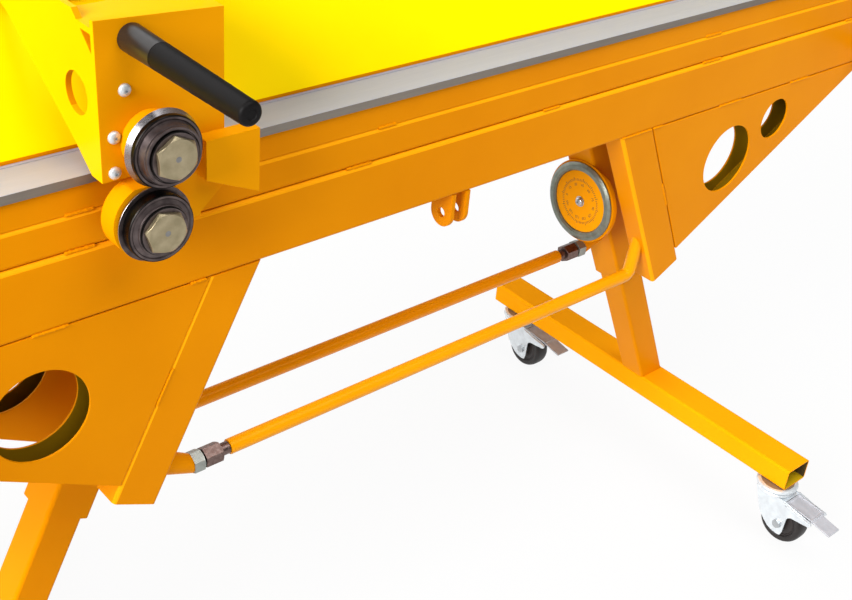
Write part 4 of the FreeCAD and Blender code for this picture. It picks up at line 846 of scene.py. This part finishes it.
# %% Caster measures
wheel_low, wheel_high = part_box("front_right_wheel")
_, AXLE_Y, AXLE_Z = middle("front_right_wheel")
WHEEL_RADIUS = (wheel_high.z - wheel_low.z) / 2 / MM
WHEEL_HALF = (wheel_high.x - wheel_low.x) / 2 / MM
MIDDLE_X = middle("front_right_fork")[0]
SWIVEL_Y = AXLE_Y + 32
CROWN_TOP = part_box("front_right_fork")[1].z / MM
CROWN_UNDER = CROWN_TOP - 8.7
CHEEK_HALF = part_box("front_right_pedal")[1].x / MM - MIDDLE_X
CAP_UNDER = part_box("caster_stems")[0].z / MM
STEM_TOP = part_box("caster_stems")[1].z / MM
TO_RIGHT = (1, 0, 0)
AXLE = (MIDDLE_X, AXLE_Y, AXLE_Z)
print("wheel", WHEEL_RADIUS, "half", WHEEL_HALF, "axle at", round(AXLE_Y, 1), round(AXLE_Z, 1))

# %% [markdown]
# ## Caster wheel
# The tyre is a rubber ring with rounded shoulders on a moulded nylon wheel, whose thin web stands
# back between the hub and the seat of the tyre. Both are the same on both sides, so half of each
# profile is drawn and the other half is its mirror image.

# %% Wheel: tyre and rim
tyre = turned("tyre", both_sides([
    (27, -WHEEL_HALF + 3.2), (28.2, -WHEEL_HALF + 1.4), (31, -WHEEL_HALF + 0.4),
    (35, -WHEEL_HALF), (37.3, -WHEEL_HALF + 1.6), (38.9, -WHEEL_HALF + 4.6),
    (39.8, -WHEEL_HALF + 8.5), (WHEEL_RADIUS, -WHEEL_HALF + 13)]), 64, hollow=True)
paint(tyre, tyre_rubber, 40)
rim = turned("wheel_rim", both_sides([
    (4.05, -13.5), (9.5, -13.5), (10.2, -13), (10.8, -11.4), (24, -11.2), (25, -12.3),
    (26.98, -12.9)]), 64, hollow=True)
paint(rim, rim_plastic, 35)
wheel = settle(joined("front_right_wheel_turned", [tyre, rim]), AXLE, TO_RIGHT)

# %% [markdown]
# ## Caster fork
# The fork is pressed from zinc plated sheet: a round race for the balls of the swivel, a crown
# plate under it, and two cheeks that hold the axle. The cheeks' forward edges are folded to a
# flange. The outlines are points back and up from the axle, read from the photograph.

# %% Fork
SHEET = 2
race = turned("ball_race", [(radius, CROWN_TOP + rise) for radius, rise in (
    (10, 0), (24, 0), (27, -0.6), (30.4, -1.4), (32, -3.4), (32, -4.8), (30, -6), (27.4, -6.6),
    (26.6, -8.7), (10, -8.7))], 64)
settle(race, (MIDDLE_X, SWIVEL_Y, 0))
outline = [(25 + SWIVEL_Y, CROWN_UNDER + 2)] + [(AXLE_Y + back, AXLE_Z + rise) for back, rise in (
    (45, 17), (41.5, 8), (37, 0), (27, -10), (17, -17.6), (8, -20.8), (-2, -22), (-7, -21.4),
    (-10, -19.4), (-12, -12), (-13, 17), (-15, 21.6), (-20, 25), (-40, 27.6), (-53, 29.4),
    (-56, 31.5), (-57, 35), (-56, 40))] + [(-3 + AXLE_Y, CROWN_UNDER + 2)]
fold = [
    (AXLE_Y - 1, CROWN_UNDER + 1.4), (AXLE_Y - 30, CROWN_UNDER - 4.2),
    (AXLE_Y - 57, AXLE_Z + 40.6), (AXLE_Y - 59, AXLE_Z + 37.6), (AXLE_Y - 57.6, AXLE_Z + 37),
    (AXLE_Y - 30, CROWN_UNDER - 6.4), (AXLE_Y - 1, CROWN_UNDER - 0.8)]
steel = [race]
for sign in (-1, 1):
    start = MIDDLE_X + (CHEEK_HALF - SHEET if sign > 0 else -CHEEK_HALF)
    steel.append(upright(plate("cheek", outline, SHEET), start))
    start = MIDDLE_X + (CHEEK_HALF - 0.4 if sign > 0 else -CHEEK_HALF - 3.6)
    steel.append(upright(plate("cheek_fold", fold, 4, 0.7), start))
steel.append(slab("crown_plate", (MIDDLE_X - CHEEK_HALF + 1, AXLE_Y - 2, CROWN_UNDER - 1.6),
                  (MIDDLE_X + CHEEK_HALF - 1, AXLE_Y + 50, CROWN_UNDER + 0.6), 0.5, 1))
fork = paint(joined("fork_steel", steel), bright_zinc, 30)

# %% Axle bolt
AXLE_RADIUS = 4
HEAD_HIGH = 5.4
bolts = []
for sign in (-1, 1):
    head = hex_head("axle_head", 16, HEAD_HIGH)
    place = (MIDDLE_X + sign * (CHEEK_HALF + 0.3), AXLE_Y, AXLE_Z)
    bolts.append(settle(head, place, (sign, 0, 0), 14))
end = turned("axle_end", [(2, 0), (AXLE_RADIUS, 0), (AXLE_RADIUS, 2.2), (3.2, 3), (1, 3)], 24)
bolts.append(settle(end, (MIDDLE_X + CHEEK_HALF + HEAD_HIGH, AXLE_Y, AXLE_Z), TO_RIGHT))
shank = turned("axle_shank", [(AXLE_RADIUS - 0.02, -CHEEK_HALF - 0.4),
                              (AXLE_RADIUS - 0.02, CHEEK_HALF + 0.4)], 24)
bolts.append(settle(shank, AXLE, TO_RIGHT))
bolts = paint(joined("fork_bolt", bolts), zinc_plate, 30)
fork = joined("front_right_fork_made", [fork, bolts])

# %% [markdown]
# ## Brake pedal
# The pedal turns on a pin between the cheeks. It is a pan with raised sides, a lip across its end
# and a narrower tongue for the foot. All its outlines follow one sloping line of steps, so the
# sides stay parallel to the pan.

# %% Pedal
HINGE_Y = AXLE_Y - 6
HINGE_Z = AXLE_Z + 43.7
PAN_HALF = CHEEK_HALF - 3
RAIL_THICK = 1.6
SLOPE = [(3, 0.4), (-10, -1), (-30, -2.6), (-47, -4.2), (-51, -5.4)]
TONGUE = [(-46, -2.2), (-60, -5.4), (-78, -8.6), (-84, -9.6), (-85, -11), (-84, -12.6),
          (-76, -11.4), (-60, -8.6), (-46, -6)]


def from_hinge(points, rise=0):
    """Points back and up from the pedal's hinge, lifted by the rise."""
    return [(HINGE_Y + back, HINGE_Z + high + rise) for back, high in points]


under = from_hinge(reversed(SLOPE), 0.2)
pan = plate("pan", from_hinge(SLOPE, 2.6) + under, PAN_HALF * 2, 0.4)
pedal_parts = [upright(pan, MIDDLE_X - PAN_HALF)]
for start in (MIDDLE_X - PAN_HALF, MIDDLE_X + (PAN_HALF - RAIL_THICK)):
    rail = plate("pan_edge", from_hinge(SLOPE[:4], 4.6) + under, RAIL_THICK)
    pedal_parts.append(upright(rail, start))
tongue = plate("tongue", from_hinge(TONGUE), PAN_HALF * 2 - 6, 0.6)
pedal_parts.append(upright(tongue, MIDDLE_X - PAN_HALF + 3))
lip_y, lip_z = HINGE_Y - 48, HINGE_Z - 1.4
pedal_parts.append(slab("lip", (MIDDLE_X - PAN_HALF, lip_y - 1.6, lip_z - 2.6),
                        (MIDDLE_X + PAN_HALF, lip_y + 1.6, lip_z + 1.2), 0.8, 2))
pin = turned("pedal_pin", [
    (1, -CHEEK_HALF), (2.6, -CHEEK_HALF), (3, -CHEEK_HALF + 0.6),
    (3, CHEEK_HALF - 0.6), (2.6, CHEEK_HALF), (1, CHEEK_HALF)], 24)
pedal_parts.append(settle(pin, (MIDDLE_X, HINGE_Y, HINGE_Z), TO_RIGHT))
pedal = paint(joined("front_right_pedal_made", pedal_parts), dull_zinc, 35)

# %% [markdown]
# ## Caster cap and nut
# A turned cap sits between the swivel and the foot, and a nut holds the stem inside the open
# tube. The middle of the cap's top, under the foot, is a darker brownish zinc, so it gets its own
# ring in the profile.

# %% Cap, stem and nut in the foot
CAP_HIGH = 9
CAP_TOP_RADIUS = 28
cap_rings = [
    (6, 0), (27, 0), (29, 0.4), (30, 2.2), (33.6, 2.6), (35.2, 3.6), (35.5, 5), (35.2, 6.6),
    (34, 8.2), (31.5, CAP_HIGH), (28.5, CAP_HIGH), (6, CAP_HIGH)]
cap = turned("stem_cap", [(radius, CAP_UNDER + rise) for radius, rise in cap_rings]
             + [(6, STEM_TOP), (5, STEM_TOP)], 72)
settle(cap, (MIDDLE_X, SWIVEL_Y, 0))
paint(cap, bright_zinc, 35)
# The middle of the cap's top gets a darker brownish zinc.
cap.data.materials.append(cap_top_brown_zinc)
for ring in cap.data.polygons:
    out = math.hypot(ring.center.x / MM - MIDDLE_X, ring.center.y / MM - SWIVEL_Y)
    if ring.center.z / MM > CAP_UNDER + CAP_HIGH - 0.1 and out < CAP_TOP_RADIUS:
        ring.material_index = 1
NUT_PLACE = (MIDDLE_X, SWIVEL_Y, 107.5)
nut = paint(settle(hex_head("stem_nut", 24.2, 8), NUT_PLACE), zinc_plate, 30)
stem = joined("stem_made", [cap, nut])

# %% The other three corners
TO_LEFT = -2 * MIDDLE_X
templates = {"wheel": wheel, "fork": fork, "pedal": pedal}
corners = {
    "front_left": (TO_LEFT, 0, 0),
    "rear_right": (0, (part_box("rear_right_wheel")[0].y - wheel_low.y) / MM, 0),
    "rear_left": (TO_LEFT, (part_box("rear_left_wheel")[0].y - wheel_low.y) / MM, 0),
}
stems = [stem]
for corner, shift in corners.items():
    for kind, template in templates.items():
        node = corner + "_" + kind
        twin = copied(template, node + "_made", shift)
        mount(twin, body_of(node), SLOT_OF[node], node)
    stems.append(copied(stem, corner + "_stem_made", shift))
for kind, template in templates.items():
    node = "front_right_" + kind
    mount(template, body_of(node), SLOT_OF[node], node)
mount(joined("caster_stems_made", stems), "frame", "zinc_steel", "caster_stems")
print("copies at", {name: [round(v) for v in shift] for name, shift in corners.items()})

# %% [markdown]
# ## Tie rod fittings
# Both tie rods end in the same row of parts: a collar welded to the tube, a long hex coupling of
# raw steel, a short threaded stud, a hex nut with zinc plate and a painted stub that is welded to
# the splayed tube. The CAD node holds them as plain solids. It is taken apart, and each solid's
# size and place set the finished part that is turned or cut for it.

# %% Taking a node apart
def loose_parts(node):
    """The separate solids of a node as objects, from left to right."""
    merged_copy(node, node + "_solids")
    bpy.ops.mesh.separate(type="LOOSE")
    leave_edit()
    parts = list(bpy.context.selected_objects)
    for part in parts:
        edit_all(part)
        flat_faces()
    return sorted(parts, key=lambda part: sum(v.co.x for v in part.data.vertices)
                  / len(part.data.vertices))


def extent(part):
    """Start and end along X, centre in Y and Z, depth and height of a part in millimetres."""
    spans = []
    for axis in range(3):
        places = [vertex.co[axis] / MM for vertex in part.data.vertices]
        spans.append((min(places), max(places)))
    along, deep, tall = spans
    return along, (sum(deep) / 2, sum(tall) / 2), deep[1] - deep[0], tall[1] - tall[0]


# %% Tie rod fittings
THREAD_PITCH = 1.75
THREAD_DEEP = 0.9
COLLAR_EDGE = 1.2
for node, sign in (("front_tie_fittings", -1), ("rear_tie_fittings", 1)):
    parts = loose_parts(node)
    if sign > 0:
        parts.reverse()
    print(node, [round(extent(part)[2], 1) for part in parts])
    stub, nut, stud, coupling, collar = parts
    made = [paint(round_edges(stub, 0.5), orange_coat, 35)]
    for part, material, name in ((nut, nut_zinc, "nut"), (coupling, raw_steel, "coupling")):
        (start, end), (y, z), deep, tall = extent(part)
        hexagon = hex_head(node + "_" + name, max(deep, tall), end - start)
        settle(hexagon, (start, y, z), TO_RIGHT, 90 if deep > tall else 0)
        made.append(paint(hexagon, material, 30))
    (start, end), (y, z), deep, tall = extent(stud)
    turns = int((end - start) / THREAD_PITCH)
    lead = (end - start) / turns
    crest, groove = deep / 2, deep / 2 - THREAD_DEEP
    rings = [(2, start), (groove, start)]
    for number in range(turns):
        base = start + number * lead
        rings += [(crest, base + lead / 2), (groove, base + lead)]
    thread = turned(node + "_thread", rings + [(2, end)], 32)
    made.append(paint(settle(thread, (0, y, z), TO_RIGHT), nut_zinc, 20))
    (start, end), (y, z), deep, tall = extent(collar)
    outer, inner = deep / 2, deep / 2 - COLLAR_EDGE
    band = turned(node + "_collar", [
        (2, start), (inner, start), (outer, start + COLLAR_EDGE), (outer, end - COLLAR_EDGE),
        (inner, end), (2, end)], 48)
    made.append(paint(settle(band, (0, y, z), TO_RIGHT), raw_steel, 30))
    for part in (nut, coupling, stud, collar):
        bpy.data.objects.remove(part)
    mount(joined(node + "_made", made), body_of(node), SLOT_OF[node], node)

# %% [markdown]
# ## Weld beads
# The tubes are joined by short stitch welds that are painted over. A bead is a row of overlapping
# scales, so it is turned like a lathe part whose radius swells with every scale, and half of it
# sinks into the seam. Each bead is turned to its own length, because a stretched copy would show
# stretched scales.

# %% Weld beads
SCALE_PITCH = 3.4


def weld(name, start, end, wide):
    """A painted bead from start to end: rings swell to a scale and pinch between two scales."""
    way = Vector(end) - Vector(start)
    long = way.length
    scales = max(3, round(long / SCALE_PITCH))
    step = long / scales
    rings = [(0.4, 0), (wide * 0.34, 0.1)]
    for number in range(scales):
        base = number * long / scales
        swell = wide / 2 * (0.94 + 0.1 * math.sin(number * 2.3))
        rings += [(swell * 0.9, base + step * 0.3), (swell, base + step * 0.62),
                  (swell * 0.86, base + step * 0.98)]
    rings += [(wide * 0.3, long), (0.4, long + 0.05)]
    bead = settle(turned(name, rings, 14), start, way)
    mount(paint(bead, orange_coat, 50), "bending_beam", "orange_paint")


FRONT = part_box("lower_tube")[0].y / MM
MIDDLE_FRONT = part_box("middle_tube")[0].y / MM
BAR_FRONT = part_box("upper_bar")[0].y / MM
UNDER = (FRONT + 0.6, 740)
MIDDLE = (MIDDLE_FRONT, 820.4)
UPPER = (BAR_FRONT, 860.4)
seams = [
    (367, 389, UNDER, 4.2), (519, 571, UNDER, 4.4), (699, 748, UNDER, 4.4),
    (-571, -532, UNDER, 4.4), (-391, -372, UNDER, 4.4), (-860, -815, UNDER, 4.4),
    (456, 497, MIDDLE, 4.4), (-529, -497, MIDDLE, 4.4), (453, 486, UPPER, 4.2),
    (-141, -116, UPPER, 4.2), (-525, -495, UPPER, 4.2), (131, 160, MIDDLE, 4.2),
    (-186, -150, MIDDLE, 4.2), (800, 838, UPPER, 4.2), (-860, -822, UPPER, 4.2),
    (820, 858, MIDDLE, 4.2), (-858, -815, MIDDLE, 4.2),
]
for number, (x0, x1, (y, z), wide) in enumerate(seams):
    weld("weld_front_%02d" % number, (x0, y, z), (x1, y, z), wide)
for side, sign in (("right", 1), ("left", -1)):
    weld("weld_" + side, (sign * 415.5, -75.4, 639), (sign * 437.5, -75.4, 597), 4)
weld("weld_strut_top", (302, *UNDER), (362, *UNDER), 4.4)
print("weld beads", len(seams) + 3)

# %% [markdown]
# ## Bow handles
# The handles at both ends of the bending beam are bent tubes with a black rubber sleeve. The
# sleeve has grooves against slipping. A round bead closes each tube's foot on the beam, where the
# tube's own vertices show its place.

# %% Handle sleeves
low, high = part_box("handle_grips")
SLEEVE_LONG = 76
SLEEVE_RADIUS = 16
TUBE_RADIUS = 11.05
ribs = [(TUBE_RADIUS, 0), (14.8, 0), (SLEEVE_RADIUS, 1.2), (SLEEVE_RADIUS, 7)]
for number in range(10):
    place = 8 + number * 6
    ribs += [(15.1, place), (15.1, place + 1.6), (SLEEVE_RADIUS, place + 2.6),
             (SLEEVE_RADIUS, place + 5)]
ribs += [(SLEEVE_RADIUS, SLEEVE_LONG - 1.2), (14.8, SLEEVE_LONG), (TUBE_RADIUS, SLEEVE_LONG),
         (TUBE_RADIUS, 0)]
sleeves = []
_, y, z = middle("handle_grips")
for name, start in (("left", low.x / MM), ("right", high.x / MM - SLEEVE_LONG)):
    sleeve = turned("handle_sleeve_" + name, ribs, 40, hollow=True)
    sleeves.append(settle(sleeve, (start, y, z), TO_RIGHT))
sleeves = paint(joined("handle_sleeves", sleeves), grip_rubber, 30)
mount(sleeves, body_of("handle_grips"), SLOT_OF["handle_grips"], "handle_grips")

# %% Handle foot beads
FOOT_HEIGHT = 770
foot_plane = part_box("bending_handles")[1].y
feet = {}
for vertex in nodes["bending_handles"].data.vertices:
    if vertex.co.y > foot_plane - 0.1 * MM:
        decimetre = round(vertex.co.x, 1)
        feet.setdefault(decimetre, []).append(vertex.co.x)
places = [(min(xs) + max(xs)) / 2 / MM for xs in feet.values()]
beads = []
for number, x in enumerate(places):
    bead = turned("foot_bead_%d" % number, [
        (11, 0), (13.4, 0.1), (13.2, 1.6), (12.4, 2.6), (11.4, 3), (11, 0)], 40, hollow=True)
    beads.append(settle(bead, (x, FRONT, FOOT_HEIGHT), (0, -1, 0)))
beads = paint(joined("handle_foot_beads", beads), orange_coat, 50)
mount(beads, "bending_beam", "orange_paint")
print("handle feet at", [round(x) for x in places])

# %% [markdown]
# ## Floor and light
# The photograph has a white surround and soft light from above and in front, so the floor is
# pale, the world is a plain dim white, and three wide sun lamps shape the forms. Through Light
# Path the camera sees the world as full white and the floor as nearly white, without more light
# on the object. Metal mirrors the same pale floor, and the floor keeps the object's shadow.

# %% Floor
FLOOR_SEEN_WHITE = 0.92
deselect()
bpy.ops.mesh.primitive_plane_add(size=60, location=(0, 0, 0))
floor = bpy.context.active_object
floor.name = "floor"
pale, tree, shader = new_material("pale_floor")
shader.inputs["Base Color"].default_value = colour("#CDCDCB")
shader.inputs["Roughness"].default_value = 0.9
path = add(tree, "ShaderNodeLightPath").outputs
seen = add(tree, "ShaderNodeMath", {0: path["Is Camera Ray"], 1: path["Is Glossy Ray"]},
           operation="MAXIMUM")
seen = add(tree, "ShaderNodeMath", {0: seen.outputs[0], 1: path["Is Transmission Ray"]},
           operation="MAXIMUM")
share = add(tree, "ShaderNodeMath", {0: seen.outputs[0]}, operation="MULTIPLY")
share.inputs[1].default_value = FLOOR_SEEN_WHITE
white = add(tree, "ShaderNodeEmission", Color=(1, 1, 1, 1), Strength=1)
mix = add(tree, "ShaderNodeMixShader", {
    0: share.outputs[0], 1: shader.outputs[0], 2: white.outputs[0]})
tree.links.new(mix.outputs[0], tree.nodes["Material Output"].inputs["Surface"])
floor.data.materials.append(pale)

# %% World
SKY_LIGHT = 0.2
world = bpy.data.worlds.new("studio")
bpy.context.scene.world = world
world.use_nodes = True
tree = world.node_tree
path = add(tree, "ShaderNodeLightPath").outputs
seen = add(tree, "ShaderNodeMath", {0: path["Is Camera Ray"], 1: path["Is Transmission Ray"]},
           operation="MAXIMUM")
soft = tree.nodes["Background"]
soft.inputs["Color"].default_value = (1, 1, 1, 1)
soft.inputs["Strength"].default_value = SKY_LIGHT
backdrop = add(tree, "ShaderNodeBackground", Color=(1, 1, 1, 1), Strength=1)
mix = add(tree, "ShaderNodeMixShader", {
    0: seen.outputs[0], 1: soft.outputs[0], 2: backdrop.outputs[0]})
tree.links.new(mix.outputs[0], tree.nodes["World Output"].inputs["Surface"])


# %% Lamps
def wide_sun(name, towards, energy, angle):
    """A sun lamp whose light comes from the given direction, wide enough for soft shadows."""
    data = bpy.data.lights.new(name, "SUN")
    data.energy = energy
    data.angle = math.radians(angle)
    lamp = bpy.data.objects.new(name, data)
    bpy.context.scene.collection.objects.link(lamp)
    lamp.rotation_euler = Vector(towards).to_track_quat("Z", "Y").to_euler()


wide_sun("window_light", (-0.87, -0.18, 0.46), 4.5, 34)
wide_sun("ceiling_light", (0.15, -0.42, 0.9), 2.0, 50)
wide_sun("back_light", (-0.1, 0.9, 0.4), 1.3, 60)
bpy.context.scene.view_settings.view_transform = "Standard"
